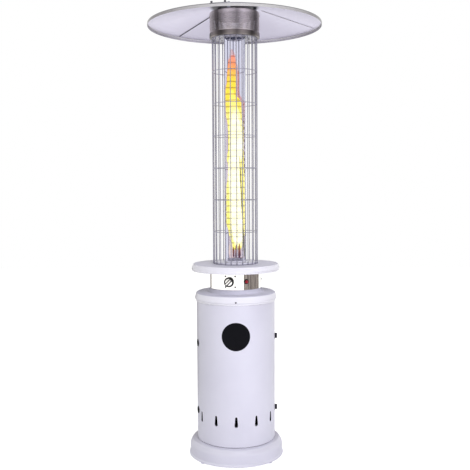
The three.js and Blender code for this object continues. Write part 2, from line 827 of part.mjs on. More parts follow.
// Wire guard: a lattice of square wires, with a block at each weld
function makeGuard() {
  const half = guardWire / 2;
  const firstRing = deckBottom + half;
  const ringPitch = (headUnderside - fitGap - half - firstRing) / (guardRingCount - 1);
  const corners = [];
  const triangles = [];
  const quad = (a, b, c, d) => triangles.push(a, b, c, a, c, d);
  const inner = guardRadius - half;
  const outer = guardRadius + half;
  const step = (2 * Math.PI) / guardWireCount;
  const lean = half / guardRadius;
  const corner = (ringIndex, wire, far, right, top) => {
    const k = (ringIndex * guardWireCount + ((wire + guardWireCount) % guardWireCount)) * 8;
    return k + 4 * far + 2 * right + top;
  };
  for (let i = 0; i < guardRingCount; i += 1) {
    for (let j = 0; j < guardWireCount; j += 1) {
      for (const [radius, side, level] of [
        [inner, -1, -1], [inner, -1, 1], [inner, 1, -1], [inner, 1, 1],
        [outer, -1, -1], [outer, -1, 1], [outer, 1, -1], [outer, 1, 1],
      ]) {
        const angle = radians(guardTurn) + j * step + side * lean;
        const height = firstRing + i * ringPitch + level * half;
        corners.push(radius * Math.sin(angle), -radius * Math.cos(angle), height);
      }
      const at = (far, right, top) => corner(i, j, far, right, top);
      const next = (far, top) => corner(i, j + 1, far, 0, top);
      quad(at(1, 0, 0), at(1, 1, 0), at(1, 1, 1), at(1, 0, 1));
      quad(at(0, 1, 0), at(0, 0, 0), at(0, 0, 1), at(0, 1, 1));
      quad(at(1, 1, 0), next(1, 0), next(1, 1), at(1, 1, 1));
      quad(next(0, 0), at(0, 1, 0), at(0, 1, 1), next(0, 1));
      quad(at(1, 1, 1), next(1, 1), next(0, 1), at(0, 1, 1));
      quad(at(0, 1, 0), next(0, 0), next(1, 0), at(1, 1, 0));
      if (i === 0) quad(at(0, 0, 0), at(0, 1, 0), at(1, 1, 0), at(1, 0, 0));
      if (i === guardRingCount - 1) {
        quad(at(1, 0, 1), at(1, 1, 1), at(0, 1, 1), at(0, 0, 1));
        continue;
      }
      const up = (far, right) => corner(i + 1, j, far, right, 0);
      quad(at(1, 0, 1), at(1, 1, 1), up(1, 1), up(1, 0));
      quad(at(0, 1, 1), at(0, 0, 1), up(0, 0), up(0, 1));
      quad(at(1, 1, 1), at(0, 1, 1), up(0, 1), up(1, 1));
      quad(at(0, 0, 1), at(1, 0, 1), up(1, 0), up(0, 0));
    }
  }
  const geometry = new THREE.BufferGeometry();
  geometry.setAttribute("position", new THREE.BufferAttribute(Float32Array.from(corners), 3));
  geometry.setIndex(triangles);
  add("wire_guard", solid(geometry), mirrorSteel);
}

// Head: a pan with the holes in its floor, a perforated screen inside its rim and a cap over the screen
const headInner = headRadius - headWall;
const screenOuter = headInner - fitGap;
const screenFoot = headUnderside + headTurnHeight + fitGap;
const capFoot = headUnderside + headRimHeight + headScreenRise;
const capTop = capFoot + headSkirtHeight + headCrownHeight;

function makeHead() {
  const glassHole = glassRadius + 2 * fitGap;
  const turn = headTurnShares.map(([outShare, upShare]) => [
    headFloorRadius + outShare * (headRadius - headFloorRadius),
    headUnderside + upShare * headTurnHeight,
  ]);
  const panSkin = [
    [glassHole, headUnderside],
    [headFloorRadius, headUnderside],
    ...turn,
    [headRadius, headUnderside + headTurnHeight],
    [headRadius, headUnderside + headRimHeight],
  ];
  const floorTop = headUnderside + headWall;
  let pan = turned(sheet(panSkin, headWall), shellSides);
  pan = roundHoles(pan, ventRingCount, ventRingRadius, ventRingHoleRadius,
    headUnderside, floorTop, holeSides);
  pan = roundHoles(pan, flueHoleCount, flueRingRadius, flueHoleRadius,
    headUnderside, floorTop, holeSides);
  add("head_plate", pan, headSteel);
  const collarFoot = floorTop + fitGap;
  add("tube_collar", ring(glassHole, glassHole + glassCollarWidth, collarFoot,
    collarFoot + glassCollarHeight, columnSides), zincSteel);
  const screenTop = capFoot + headSkirtHeight - fitGap;
  add("head_screen", ring(screenOuter - headWall, screenOuter, screenFoot, screenTop, shellSides), headSteel);
  const crown = crownShares.map(([inShare, upShare]) => [
    headRadius - inShare * headCrownInset,
    capFoot + headSkirtHeight + upShare * headCrownHeight,
  ]);
  const capSkin = [
    [headRadius, capFoot],
    [headRadius, capFoot + headSkirtHeight],
    ...crown,
    [headRadius - headCrownInset, capTop],
    [0, capTop],
  ];
  add("head_cap", turned(sheet(capSkin, headWall), shellSides), headSteel);
}

// Reflector: three panels that meet at radial seams, each seam with a stud and a clamp
const dishUnderside = capTop + dishClearance;
const dishTop = dishUnderside + dishWall;
const dishRimTop = dishTop - dishDrop;
const studRing = dishFlatRadius - studInset;
const clampRing = dishFlatRadius + clampShare * (dishRadius - dishFlatRadius);
const dishFoot = dishRimTop - dishRimHeight;

function panelWedge(middle) {
  const half = radians(180 / panelCount);
  const apex = fitGap / 2 / Math.sin(half);
  const far = 2 * reach / Math.cos(half);
  const wedge = new THREE.Shape();
  wedge.moveTo(0, -apex);
  wedge.lineTo(far * Math.sin(half), -apex - far * Math.cos(half));
  wedge.lineTo(-far * Math.sin(half), -apex - far * Math.cos(half));
  const height = dishTop - dishFoot + 2 * cutOverrun;
  const geometry = new THREE.ExtrudeGeometry(wedge, { depth: height, bevelEnabled: false });
  return solid(geometry.translate(0, 0, dishFoot - cutOverrun).rotateZ(radians(middle)));
}

function makeReflector() {
  const skin = [
    [dishRadius, dishFoot],
    [dishRadius, dishRimTop - dishRimRound],
    [dishRadius - dishRimRound, dishRimTop],
    [dishFlatRadius, dishTop],
    [dishCentreHole, dishTop],
  ];
  const dish = turned(sheet(skin, dishWall), dishSides);
  const seams = Array.from({ length: panelCount }, (_, i) => seamFirstAngle + (360 * i) / panelCount);
  const studHole = rod(studRadius + fitGap, dishFoot, dishTop + cutOverrun);
  const slope = Math.atan2(dishDrop, dishRadius - dishRimRound - dishFlatRadius);
  const clampHeight = dishTop - (clampRing - dishFlatRadius) * Math.tan(slope);
  seams.forEach((seam, i) => {
    let panel = dish.intersect(panelWedge(seam + 180 / panelCount));
    for (const angle of seams) panel = panel.subtract(moved(studHole, standing(angle, studRing, 0)));
    add(`reflector_panel_${i + 1}`, panel, dishAluminium);
    add(`reflector_stud_${i + 1}`, reflectorStud(), zincSteel, standing(seam, studRing, 0));
    const lean = new THREE.Matrix4().makeRotationX(slope);
    const turn = new THREE.Matrix4().makeRotationZ(radians(seam));
    const place = standing(seam, clampRing, clampHeight).multiply(turn).multiply(lean);
    add(`seam_clamp_${i + 1}`, seamClamp(), castIron, place);
  });
}

function reflectorStud() {
  const nutFoot = dishTop + fitGap;
  return rod(spacerRadius, capTop + fitGap, dishUnderside - fitGap)
    .add(rod(studRadius, capTop + fitGap, nutFoot + studNutHeight))
    .add(rod(studNutRadius, nutFoot, nutFoot + studNutHeight, holeSides));
}

function seamClamp() {
  const plateTopHeight = fitGap + clampThickness;
  const [halfLength, halfWidth] = [clampLength / 2, clampWidth / 2];
  const plate = block(-halfLength, halfLength, -halfWidth, halfWidth, fitGap, plateTopHeight);
  const nut = rod(clampNutRadius, fitGap, plateTopHeight + clampNutHeight, holeSides);
  const side = new THREE.Matrix4().makeTranslation(clampNutSpacing / 2, 0, 0);
  const other = new THREE.Matrix4().makeTranslation(-clampNutSpacing / 2, 0, 0);
  return plate.add(moved(nut, side)).add(moved(nut, other));
}

makeBase();
makeHousing();
hingeNames.forEach((name, i) => makeHinge(name, doorBottom + hingeLifts[i]));
hingeNames.forEach((name, i) => makeGrommet(name, doorBottom + gripLifts[i]));
makeCatch();
makeLid();
makeControlBand();
makeValve();
makeIgniter();
makeBurner();
makeTray();
makeGlass();
makeGuard();
makeHead();
makeReflector();

export default heater;
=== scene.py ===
# %% [markdown]
# # A mushroom patio heater with a flame in a glass tube
# A gas heater for a terrace: a round base, a sheet-metal housing round the gas bottle, a polished
# control band, a tray, a tall glass tube in a wire guard, a perforated head and a wide reflector.
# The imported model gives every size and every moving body. Each piece below is made in place over it,
# in millimetres, because the real heater was drawn in them, and the mesh helper turns them to metres.
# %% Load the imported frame
import bpy
import bmesh
from math import atan2, cos, degrees, hypot, pi, radians, sin, sqrt, tan
from mathutils import Matrix, Vector
from mathutils.geometry import delaunay_2d_cdt


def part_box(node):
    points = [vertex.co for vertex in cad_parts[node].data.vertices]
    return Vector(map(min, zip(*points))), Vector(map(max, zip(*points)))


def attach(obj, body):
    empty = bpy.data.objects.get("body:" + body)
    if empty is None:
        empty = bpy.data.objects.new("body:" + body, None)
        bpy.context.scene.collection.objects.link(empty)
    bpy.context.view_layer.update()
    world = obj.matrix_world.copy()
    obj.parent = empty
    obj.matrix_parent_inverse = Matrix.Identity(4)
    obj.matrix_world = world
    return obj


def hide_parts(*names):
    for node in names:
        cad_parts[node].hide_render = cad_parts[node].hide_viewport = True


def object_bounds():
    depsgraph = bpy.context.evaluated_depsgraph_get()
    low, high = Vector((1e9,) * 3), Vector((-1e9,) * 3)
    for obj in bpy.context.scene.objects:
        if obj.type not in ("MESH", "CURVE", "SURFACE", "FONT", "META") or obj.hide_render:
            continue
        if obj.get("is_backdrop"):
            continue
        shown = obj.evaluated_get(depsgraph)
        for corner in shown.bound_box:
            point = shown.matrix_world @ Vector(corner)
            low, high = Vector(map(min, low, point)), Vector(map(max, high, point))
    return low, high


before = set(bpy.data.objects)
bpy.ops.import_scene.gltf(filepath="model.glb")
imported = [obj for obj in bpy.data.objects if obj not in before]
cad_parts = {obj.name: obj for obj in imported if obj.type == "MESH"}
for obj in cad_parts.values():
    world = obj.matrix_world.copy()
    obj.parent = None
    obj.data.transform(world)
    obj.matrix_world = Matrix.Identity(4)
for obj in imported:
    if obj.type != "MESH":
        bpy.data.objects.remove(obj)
cad_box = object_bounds()
scene = bpy.context.scene
scene.view_settings.view_transform = "Standard"
MM = 0.001
print("nodes", len(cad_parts), "box", [tuple(round(x, 4) for x in corner) for corner in cad_box])

# %% [markdown]
# ## The camera
# The picture is a square of 470 pixels. The vertical shrink from base to dish gave the lens, and the
# ellipses of the rims gave the pitch. The eye is below the dish, so its hollow underside shows.
# %% Place the camera
image_side = 470
focal_pixels = 731
tilt_down, roll = radians(86.32), radians(-0.26)
camera_data = bpy.data.cameras.new("patio_camera")
camera_data.lens = focal_pixels / image_side * camera_data.sensor_width
camera = bpy.data.objects.new("patio_camera", camera_data)
camera.location = (-0.0021, -3.481, 1.2767)
camera.rotation_euler = (Matrix.Rotation(tilt_down, 3, "X") @ Matrix.Rotation(roll, 3, "Z")).to_euler()
scene.collection.objects.link(camera)
scene.camera = camera
print("lens", round(camera_data.lens, 2), "mm")

# %% [markdown]
# ## Node helpers
# The world, the finishes and the trees for repeated shapes are all built from nodes. Four short
# helpers keep that readable: one adds any node with its values and links, one does a sum, one maps a
# value from one range to another, and one gives the place on the object in metres.
# %% Make the node helpers
def node(tree, kind, inputs=(), **settings):
    """Add a node; each of its inputs gets a plain value or a link from another node's socket."""
    made = tree.nodes.new(kind)
    for label, value in settings.items():
        setattr(made, label, value)
    for socket, source in dict(inputs).items():
        if isinstance(source, bpy.types.NodeSocket):
            tree.links.new(source, made.inputs[socket])
        else:
            made.inputs[socket].default_value = source
    return made


def worked_out(tree, operation, first, second=0.0):
    return node(tree, "ShaderNodeMath", {0: first, 1: second}, operation=operation).outputs[0]


def ranged(tree, source, low, high, start=0.3, end=0.7):
    ends = {"From Min": start, "From Max": end, "To Min": low, "To Max": high}
    return node(tree, "ShaderNodeMapRange", {"Value": source, **ends}).outputs["Result"]


def place_on_object(tree):
    return node(tree, "ShaderNodeTexCoord").outputs["Object"]


print("node helpers ready")

# %% [markdown]
# ## Light and background
# The heater stands before plain white. The world is white where the eye, a reflection or the glass
# looks at it, and softer where it only lights a dull surface, so pale sheet keeps its tone.
# %% Build the world
world_fill = 0.33
world = bpy.data.worlds.new("studio")
world.use_nodes = True
scene.world = world
tree = world.node_tree
seen_by = node(tree, "ShaderNodeLightPath").outputs
looked_at = worked_out(tree, "MAXIMUM", seen_by["Is Camera Ray"], seen_by["Is Glossy Ray"])
looked_at = worked_out(tree, "MAXIMUM", looked_at, seen_by["Is Transmission Ray"])
background = tree.nodes["Background"]
background.inputs["Color"].default_value = (1, 1, 1, 1)
tree.links.new(ranged(tree, looked_at, world_fill, 1, 0, 1), background.inputs["Strength"])
print("world fill", world_fill)

# %% [markdown]
# One big, slightly cool area lamp high in front does most of the work: it makes the front of each
# round piece pale and lets the sides fall off toward grey. A weak one from the right and one from
# behind keep the edges alive. Reflections and the glass don't see the lamps.
# %% Hang the lamps
def lamp(name, place, target, size, power, tint):
    data = bpy.data.lights.new(name, "AREA")
    data.shape = "SQUARE"
    data.size = size
    data.energy = power
    data.color = tint
    made = bpy.data.objects.new(name, data)
    made.location = place
    made.rotation_euler = (Vector(target) - Vector(place)).to_track_quat("-Z", "Y").to_euler()
    made.visible_glossy = False
    made.visible_transmission = False
    made.visible_camera = False
    scene.collection.objects.link(made)


cool, plain = (0.86, 0.845, 1.0), (1, 1, 1)
lamp("key_lamp", (0.9, -3.9, 3.6), (0, 0, 0.9), 2.2, 138, cool)
lamp("right_lamp", (2.8, -3.0, 1.4), (0, 0, 0.8), 1.8, 16, cool)
lamp("back_lamp", (0.5, 4.0, 2.8), (0, 0, 1.2), 2.4, 13, plain)

# %% [markdown]
# ## Shared surface effects
# An effect that several finishes share is a shader group, built once, and a finish sets its own
# scales on it. The first effect is the fine lines of brushed or spun sheet, which run round the axis.
# It stretches a noise by the distance from the axis and by the height: on a wall the lines go round
# it, and on a flat top they become rings.
# %% Build the spun lines
def shader_group(name, inputs, output):
    group = bpy.data.node_groups.new(name, "ShaderNodeTree")
    for label, value in inputs.items():
        socket = group.interface.new_socket(label, in_out="INPUT", socket_type="NodeSocketFloat")
        socket.default_value = value
    group.interface.new_socket(output, in_out="OUTPUT", socket_type="NodeSocketFloat")
    return group, node(group, "NodeGroupInput").outputs, node(group, "NodeGroupOutput").inputs[output]


def from_axis(tree, place):
    """The distance of a place from the heater's axis."""
    level = node(tree, "ShaderNodeVectorMath", {0: place, 1: (1, 1, 0)}, operation="MULTIPLY").outputs[0]
    return node(tree, "ShaderNodeVectorMath", {0: level}, operation="LENGTH").outputs["Value"]


spun_group, given, result = shader_group("spun_lines", {"Fineness": 900, "Length": 4}, "Lines")
place = place_on_object(spun_group)
split = node(spun_group, "ShaderNodeSeparateXYZ", {0: place}).outputs
across = worked_out(spun_group, "ADD", split["X"], split["Y"])
stretched = node(spun_group, "ShaderNodeCombineXYZ", {
    "X": worked_out(spun_group, "MULTIPLY", from_axis(spun_group, place), given["Fineness"]),
    "Y": worked_out(spun_group, "MULTIPLY", split["Z"], given["Fineness"]),
    "Z": worked_out(spun_group, "MULTIPLY", across, given["Length"])}).outputs[0]
lines = node(spun_group, "ShaderNodeTexNoise", {"Vector": stretched, "Scale": 1, "Detail": 2})
spun_group.links.new(lines.outputs["Fac"], result)
print(spun_group.name, len(spun_group.nodes), "nodes")

# %% [markdown]
# Polished sheet mirrors a studio in upright stripes. This effect paints them into the colour as a
# painted reflection: a broad wave round the axis that is light at a chosen angle to each side of the
# front, plus a narrow uneven noise. The small turn shifts the whole pattern, because the studio
# behind the camera isn't symmetrical.
# %% Build the painted reflection streaks
streak_turn = -0.09
broad_share, narrow_share = 0.4, 0.3
reflection_streak_group, given, result = shader_group("painted_reflection_streaks", {"Bright At": 19, "Half Width": 28}, "Streaks")
split = node(reflection_streak_group, "ShaderNodeSeparateXYZ", {0: place_on_object(reflection_streak_group)}).outputs
toward_front = worked_out(reflection_streak_group, "MULTIPLY", split["Y"], -1)
round_axis = worked_out(reflection_streak_group, "ARCTAN2", split["X"], toward_front)
turned = worked_out(reflection_streak_group, "ADD", round_axis, streak_turn)
from_front = worked_out(reflection_streak_group, "DEGREES", worked_out(reflection_streak_group, "ABSOLUTE", turned))
past_bright = worked_out(reflection_streak_group, "SUBTRACT", from_front, given["Bright At"])
half_turns = worked_out(reflection_streak_group, "DIVIDE", past_bright, given["Half Width"])
wave = worked_out(reflection_streak_group, "COSINE", worked_out(reflection_streak_group, "MULTIPLY", half_turns, pi))
narrow_place = node(reflection_streak_group, "ShaderNodeCombineXYZ", {
    "X": worked_out(reflection_streak_group, "MULTIPLY", round_axis, 9),
    "Y": worked_out(reflection_streak_group, "MULTIPLY", split["Z"], 3)}).outputs[0]
narrow = node(reflection_streak_group, "ShaderNodeTexNoise", {"Vector": narrow_place, "Scale": 1}).outputs["Fac"]
broad = worked_out(reflection_streak_group, "MULTIPLY", worked_out(reflection_streak_group, "ADD", wave, 1), broad_share)
uneven = worked_out(reflection_streak_group, "MULTIPLY", narrow, narrow_share)
reflection_streak_group.links.new(worked_out(reflection_streak_group, "ADD", broad, uneven), result)
print(reflection_streak_group.name, len(reflection_streak_group.nodes), "nodes")

# %% [markdown]
# Two more effects are plain noise: wide, faint clouds from handling and heat, and the tiny grain of
# cast or moulded parts. The last one is the distance from the axis, for a stain round the middle.
# %% Build the clouds, the grain and the distance
def cloud_group(name, scale, detail):
    group, given, result = shader_group(name, {"Scale": scale}, "Cloud")
    inputs = {"Vector": place_on_object(group), "Scale": given["Scale"], "Detail": detail}
    group.links.new(node(group, "ShaderNodeTexNoise", inputs).outputs["Fac"], result)
    return group


handling_group = cloud_group("handling_clouds", 5, 3)
grain_group = cloud_group("cast_grain", 700, 2)
radius_group, given, result = shader_group("radius_from_axis", {}, "Radius")
radius_group.links.new(from_axis(radius_group, place_on_object(radius_group)), result)
print("groups", [g.name for g in bpy.data.node_groups])

# %% [markdown]
# ## Finishes
# Colours are given as the eye reads them, from 0 to 255, and turned to linear light. A pattern is a
# function that puts its effect into whichever material asks for it, so one line names it.
# %% Make the colour and pattern helpers
def colour(red, green, blue):
    def linear(value):
        value = value / 255
        return value / 12.92 if value <= 0.04045 else ((value + 0.055) / 1.055) ** 2.4
    return (linear(red), linear(green), linear(blue), 1)


def shared(tree, group, **values):
    """Use a shader group; an underscore in a label stands for a space."""
    inputs = {label.replace("_", " "): value for label, value in values.items()}
    return node(tree, "ShaderNodeGroup", inputs, node_tree=group).outputs[0]


def mixed(tree, factor, first, second):
    inputs = {"Factor": factor, "A": first, "B": second}
    return node(tree, "ShaderNodeMix", inputs, data_type="RGBA").outputs["Result"]


def clouds(scale):
    return lambda tree: ranged(tree, shared(tree, handling_group, Scale=scale), 0, 1)


def spun(fineness, length):
    return lambda tree: shared(tree, spun_group, Fineness=fineness, Length=length)


def grain(tree):
    return shared(tree, grain_group)


print("pattern helpers ready")

# %% [markdown]
# A finish is a Principled surface whose colour drifts between two close tones and whose roughness and
# bump follow the lines or the grain. Uniform values are set on the shader itself.
# %% Make a finish
bump_depth = 0.0002


def finish(name, main, second, metallic, rough, bump=0.0, pattern=grain, drift=clouds(5), **sockets):
    """The drift mixes the two tones, and the pattern sets the roughness and the bump."""
    made = bpy.data.materials.new(name)
    made.use_nodes = True
    tree = made.node_tree
    shader = tree.nodes["Principled BSDF"]
    shader.inputs["Metallic"].default_value = metallic
    for label, value in sockets.items():
        shader.inputs[label.replace("_", " ")].default_value = value
    tone = mixed(tree, drift(tree), colour(*main), colour(*second))
    tree.links.new(tone, shader.inputs["Base Color"])
    detail = pattern(tree)
    tree.links.new(ranged(tree, detail, *rough), shader.inputs["Roughness"])
    if bump:
        relief = node(tree, "ShaderNodeBump", {"Strength": bump, "Distance": bump_depth, "Height": detail})
        tree.links.new(relief.outputs["Normal"], shader.inputs["Normal"])
    return made


def painted_reflection_sheet(name, dark, light, rough, bright_at, half_width):
    """Polished sheet whose tone goes from dark to light in upright streaks of painted reflection."""
    def streaks(tree):
        return shared(tree, reflection_streak_group, Bright_At=bright_at, Half_Width=half_width)
    return finish(name, dark, light, 0.9, rough, 0.05, spun(600, 5), streaks)


print("finish helpers ready")

# %% [markdown]
# The sheet pieces are all stainless steel, but the studio treats each of them differently, and part
# of that light is painted into their colours: the housing is a soft pale silver, the lid is a lighter
# copy with painted light, flat tops that look at the dark ceiling get a grey copy with painted shade,
# the control band is a mirror, and the head is a warmer steel whose streaks are painted reflections.
# %% Mix the sheet steels
body_steel = finish("body_steel", (233, 232, 240), (227, 226, 235), 0.3, (0.33, 0.42), 0.06, spun(900, 3))
# The lid's steel is a lighter copy of the body's steel: painted light.
lid_steel_painted_light = finish("lid_steel_painted_light", (250, 249, 252), (246, 245, 250), 0.3, (0.33, 0.42), 0.06, spun(900, 3))
# Upward faces in the tray's shadow: a greyer copy of the steel with painted shade.
shelf_steel_painted_shade = finish("shelf_steel_painted_shade", (213, 212, 221), (207, 206, 215), 0.0, (0.5, 0.6), 0.05, spun(500, 3),
                     Specular_IOR_Level=0.1)
# The tray's flat top: a greyer copy of the steel with painted shade.
tray_top_painted_shade = finish("tray_top_painted_shade", (229, 228, 236), (224, 223, 231), 0.0, (0.5, 0.6), 0.05,
                        spun(500, 3), Specular_IOR_Level=0.1)
mirror_steel = finish("mirror_steel", (254, 252, 247), (246, 244, 238), 1.0, (0.05, 0.1), 0.01, spun(700, 3))
# The head's dark and light upright streaks are painted reflections of the studio.
head_steel = painted_reflection_sheet("head_steel", (62, 56, 52), (234, 226, 220), (0.24, 0.36), 19, 30)
# The head's rounded rim: a darker copy with painted shade and painted reflection streaks.
head_rim_painted_shade = painted_reflection_sheet("head_rim_painted_shade", (44, 40, 39), (150, 142, 138), (0.3, 0.42), 15, 24)
head_floor_steel = finish("head_floor_steel", (190, 188, 194), (170, 168, 174), 0.8, (0.3, 0.42), 0.05,
                          drift=clouds(12))
print("finishes", len(bpy.data.materials))

# %% [markdown]
# The reflector is polished aluminium. Its rim is turned down, so it mirrors other things than the
# slope does, and gets finishes of its own with painted reflections. The middle of the dish, close round
# the head, gets a painted reflection of the dark head, which the distance from the axis draws as a dark
# patch with a soft edge.
# %% Mix the reflector's finishes
dish_aluminium = finish("dish_aluminium", (216, 212, 229), (210, 206, 223), 0.85, (0.3, 0.36), 0.0,
                        spun(260, 2))
# The rim's bend and wall: darker copies of the aluminium with painted reflections.
rim_bend_painted_reflection = finish("rim_bend_painted_reflection", (120, 118, 124), (96, 94, 100), 1.0, (0.14, 0.22), 0.0, spun(260, 2))
rim_wall_painted_reflection = painted_reflection_sheet("rim_wall_painted_reflection", (110, 106, 108), (212, 210, 212), (0.2, 0.3), 0, 78)
# Painted reflection: the dark head mirrored in the middle of the dish.
dark_patch_inner, dark_patch_outer = 0.1, 0.118
tree = dish_aluminium.node_tree
dish_tone = tree.nodes["Principled BSDF"].inputs["Base Color"]
away_from_head = ranged(tree, shared(tree, radius_group), 0, 1, dark_patch_inner, dark_patch_outer)
painted_head_reflection = mixed(tree, away_from_head, colour(30, 28, 32), dish_tone.links[0].from_socket)
tree.links.new(painted_head_reflection, dish_tone)
print("finishes", len(bpy.data.materials))

# %% [markdown]
# Fittings, plastic, rubber, glass and the blackened inner faces follow. The glass is clear with a low
# refractive index, because the real tube is thin and hardly bends what stands behind it.
# %% Mix the other finishes
guard_chrome = finish("guard_chrome", (170, 168, 181), (154, 152, 167), 0.9, (0.16, 0.26))
zinc_steel = finish("zinc_steel", (176, 178, 184), (150, 153, 158), 0.9, (0.38, 0.55), 0.1, drift=clouds(22))
dark_steel = finish("dark_steel", (112, 110, 116), (92, 90, 96), 0.9, (0.25, 0.4), 0.1, drift=clouds(30))
hinge_steel = finish("hinge_steel", (78, 76, 82), (54, 52, 58), 0.9, (0.25, 0.4), 0.1, drift=clouds(30))
burner_steel = finish("burner_steel", (222, 218, 226), (200, 196, 206), 0.3, (0.4, 0.55), 0.2,
                      drift=clouds(24))
brass = finish("brass", (190, 152, 92), (164, 126, 74), 1.0, (0.28, 0.42), 0.05, drift=clouds(24))
# Black painted shade for hollows and gaps.
painted_shade_black = finish("painted_shade_black", (20, 18, 22), (10, 9, 12), 0.0, (0.8, 0.95), 0.1, drift=clouds(30),
              Specular_IOR_Level=0.1)
# The vent's own black, also used as painted shade on inner faces, the door lip and the collar.
vent_black = finish("vent_black", (10, 10, 18), (7, 7, 13), 0.0, (0.6, 0.75), 0.1, drift=clouds(14),
                    Specular_IOR_Level=0.2)
# Black plastic, also used as painted shade on the knob's grip bar.
black_plastic = finish("black_plastic", (30, 29, 31), (24, 23, 26), 0.0, (0.34, 0.5), 0.1, drift=clouds(20))
red_plastic = finish("red_plastic", (222, 48, 64), (160, 20, 36), 0.0, (0.12, 0.2), 0.05, drift=clouds(40))
ceramic = finish("ceramic", (236, 230, 218), (222, 212, 196), 0.0, (0.35, 0.5), 0.05, drift=clouds(60))
rubber = finish("rubber", (28, 27, 30), (20, 20, 22), 0.0, (0.7, 0.9), 0.25, drift=clouds(30))
pad_rubber = finish("pad_rubber", (226, 226, 232), (214, 214, 222), 0.0, (0.7, 0.9), 0.25, drift=clouds(30))
tube_glass = finish("tube_glass", (236, 236, 245), (233, 233, 243), 0.0, (0.0, 0.02),
                    Transmission_Weight=1.0, IOR=1.08)
print("finishes", len(bpy.data.materials))

# %% [markdown]
# ## Outlines and walls
# Most of the heater is spun or rolled sheet, so most pieces start as an outline of [radius, height]
# points with a fillet at each bend. The outline gets the thickness of the sheet and is then turned
# round the axis, as on a lathe. Places round the axis are angles from the front toward +X.
# %% Make the outline helpers
fillet_share = 0.48
same_point = 1e-4


def rounded(corners, steps=5):
    """Fillet the bends of an open outline of (radius, height, fillet) corners."""
    outline = [tuple(corners[0][:2])]
    for before, here, after in zip(corners, corners[1:], corners[2:]):
        bend = Vector(here[:2])
        if not here[2]:
            outline.append(tuple(bend))
            continue
        back, on = Vector(before[:2]) - bend, Vector(after[:2]) - bend
        half = back.angle(on) / 2
        reach = min(here[2] / tan(half), fillet_share * back.length, fillet_share * on.length)
        radius = reach * tan(half)
        back.normalize()
        on.normalize()
        centre = bend + (back + on).normalized() * radius / sin(half)
        first, last = bend + back * reach - centre, bend + on * reach - centre
        for i in range(steps + 1):
            outline.append(tuple(centre + first.lerp(last, i / steps).normalized() * radius))
    return outline + [tuple(corners[-1][:2])]


def sheet(skin, wall):
    """Close an outline that runs up and then inward with an inner skin one wall behind it."""
    points = [Vector(p) for p in skin]
    points = [p for i, p in enumerate(points) if i == 0 or (p - points[i - 1]).length > same_point]
    normals = []
    for a, b in zip(points, points[1:]):
        along = (b - a).normalized()
        normals.append(Vector((-along.y, along.x)))
    inner = []
    for i, p in enumerate(points):
        before, after = normals[max(i - 1, 0)], normals[min(i, len(normals) - 1)]
        inner.append(p + (before + after) / (1 + before.dot(after)) * wall)
    return [tuple(p) for p in points] + [tuple(p) for p in reversed(inner)]


print("outline helpers ready")

# %% [markdown]
# The lathe joins copies of the outline with rings of faces. A full turn closes on itself, and a sector
# of a sheet gets two end walls. A rod is the simplest turned shape, and with six sides it is a nut.
# %% Make the lathe
def revolve(outline, sides=144, start=0, end=360, closed=True):
    """Turn an outline round the axis; a closed outline of a sheet also gets end walls on a sector."""
    full = end - start >= 360
    columns = sides if full else sides + 1
    count = len(outline)
    verts = []
    for j in range(columns):
        angle = radians(start + (end - start) * j / sides)
        verts += [(r * sin(angle), -r * cos(angle), z) for r, z in outline]
    faces = []
    for j in range(sides):
        k = (j + 1) % columns
        for i in range(count if closed else count - 1):
            m = (i + 1) % count
            faces.append((j * count + i, k * count + i, k * count + m, j * count + m))
    if not full:
        for j in (0, sides):
            for i in range(count // 2 - 1):
                faces.append([j * count + n for n in (i, i + 1, count - 2 - i, count - 1 - i)])
    return verts, faces


def rod(radius, low, high, low_bevel=0, high_bevel=0, sides=32, steps=5):
    """A solid round bar, or a nut when it has six sides."""
    corners = [(0, low, 0), (radius, low, low_bevel), (radius, high, high_bevel), (0, high, 0)]
    return revolve(rounded(corners, steps), sides, closed=False)


print("lathe ready")

# %% [markdown]
# Finished shapes are moved into place by a matrix. A part that sits on a round wall gets its own
# directions there: x along the wall, y up and z straight out of it.
# %% Make the placing helpers
def direction(angle):
    return Vector((sin(radians(angle)), -cos(radians(angle)), 0))


def on_wall(angle, radius, height):
    """A place on a round wall: x along it, y up, z straight out."""
    out = direction(angle)
    up = Vector((0, 0, 1))
    place = Matrix((up.cross(out), up, out)).transposed().to_4x4()
    place.translation = out * radius + up * height
    return place


def joined(*parts):
    verts, faces = [], []
    for part_verts, part_faces in parts:
        faces += [[len(verts) + i for i in face] for face in part_faces]
        verts += list(part_verts)
    return verts, faces


def placed(part, place):
    return [tuple(place @ Vector(v)) for v in part[0]], part[1]


def bevelled_box(low, high, bevel, segments=3):
    """A box with rounded edges, as verts and faces."""
    shape = bmesh.new()
    bmesh.ops.create_cube(shape, size=1)
    for v in shape.verts:
        v.co = Vector([low[i] + (v.co[i] + 0.5) * (high[i] - low[i]) for i in range(3)])
    edges = shape.edges[:]
    bmesh.ops.bevel(shape, geom=edges, offset=bevel, segments=segments, affect="EDGES", profile=0.5)
    shape.verts.index_update()
    part = [tuple(v.co) for v in shape.verts], [[v.index for v in f.verts] for f in shape.faces]
    shape.free()
    return part


print("placing helpers ready")

# %% [markdown]
# Every piece ends up as one mesh with smooth faces and sharp edges where it bends, fitted to the body
# that it moves with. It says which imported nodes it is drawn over, and those nodes are then hidden.
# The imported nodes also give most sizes: the radius, the top and the foot of each.
# %% Make the mesh helpers
weld = 2e-6


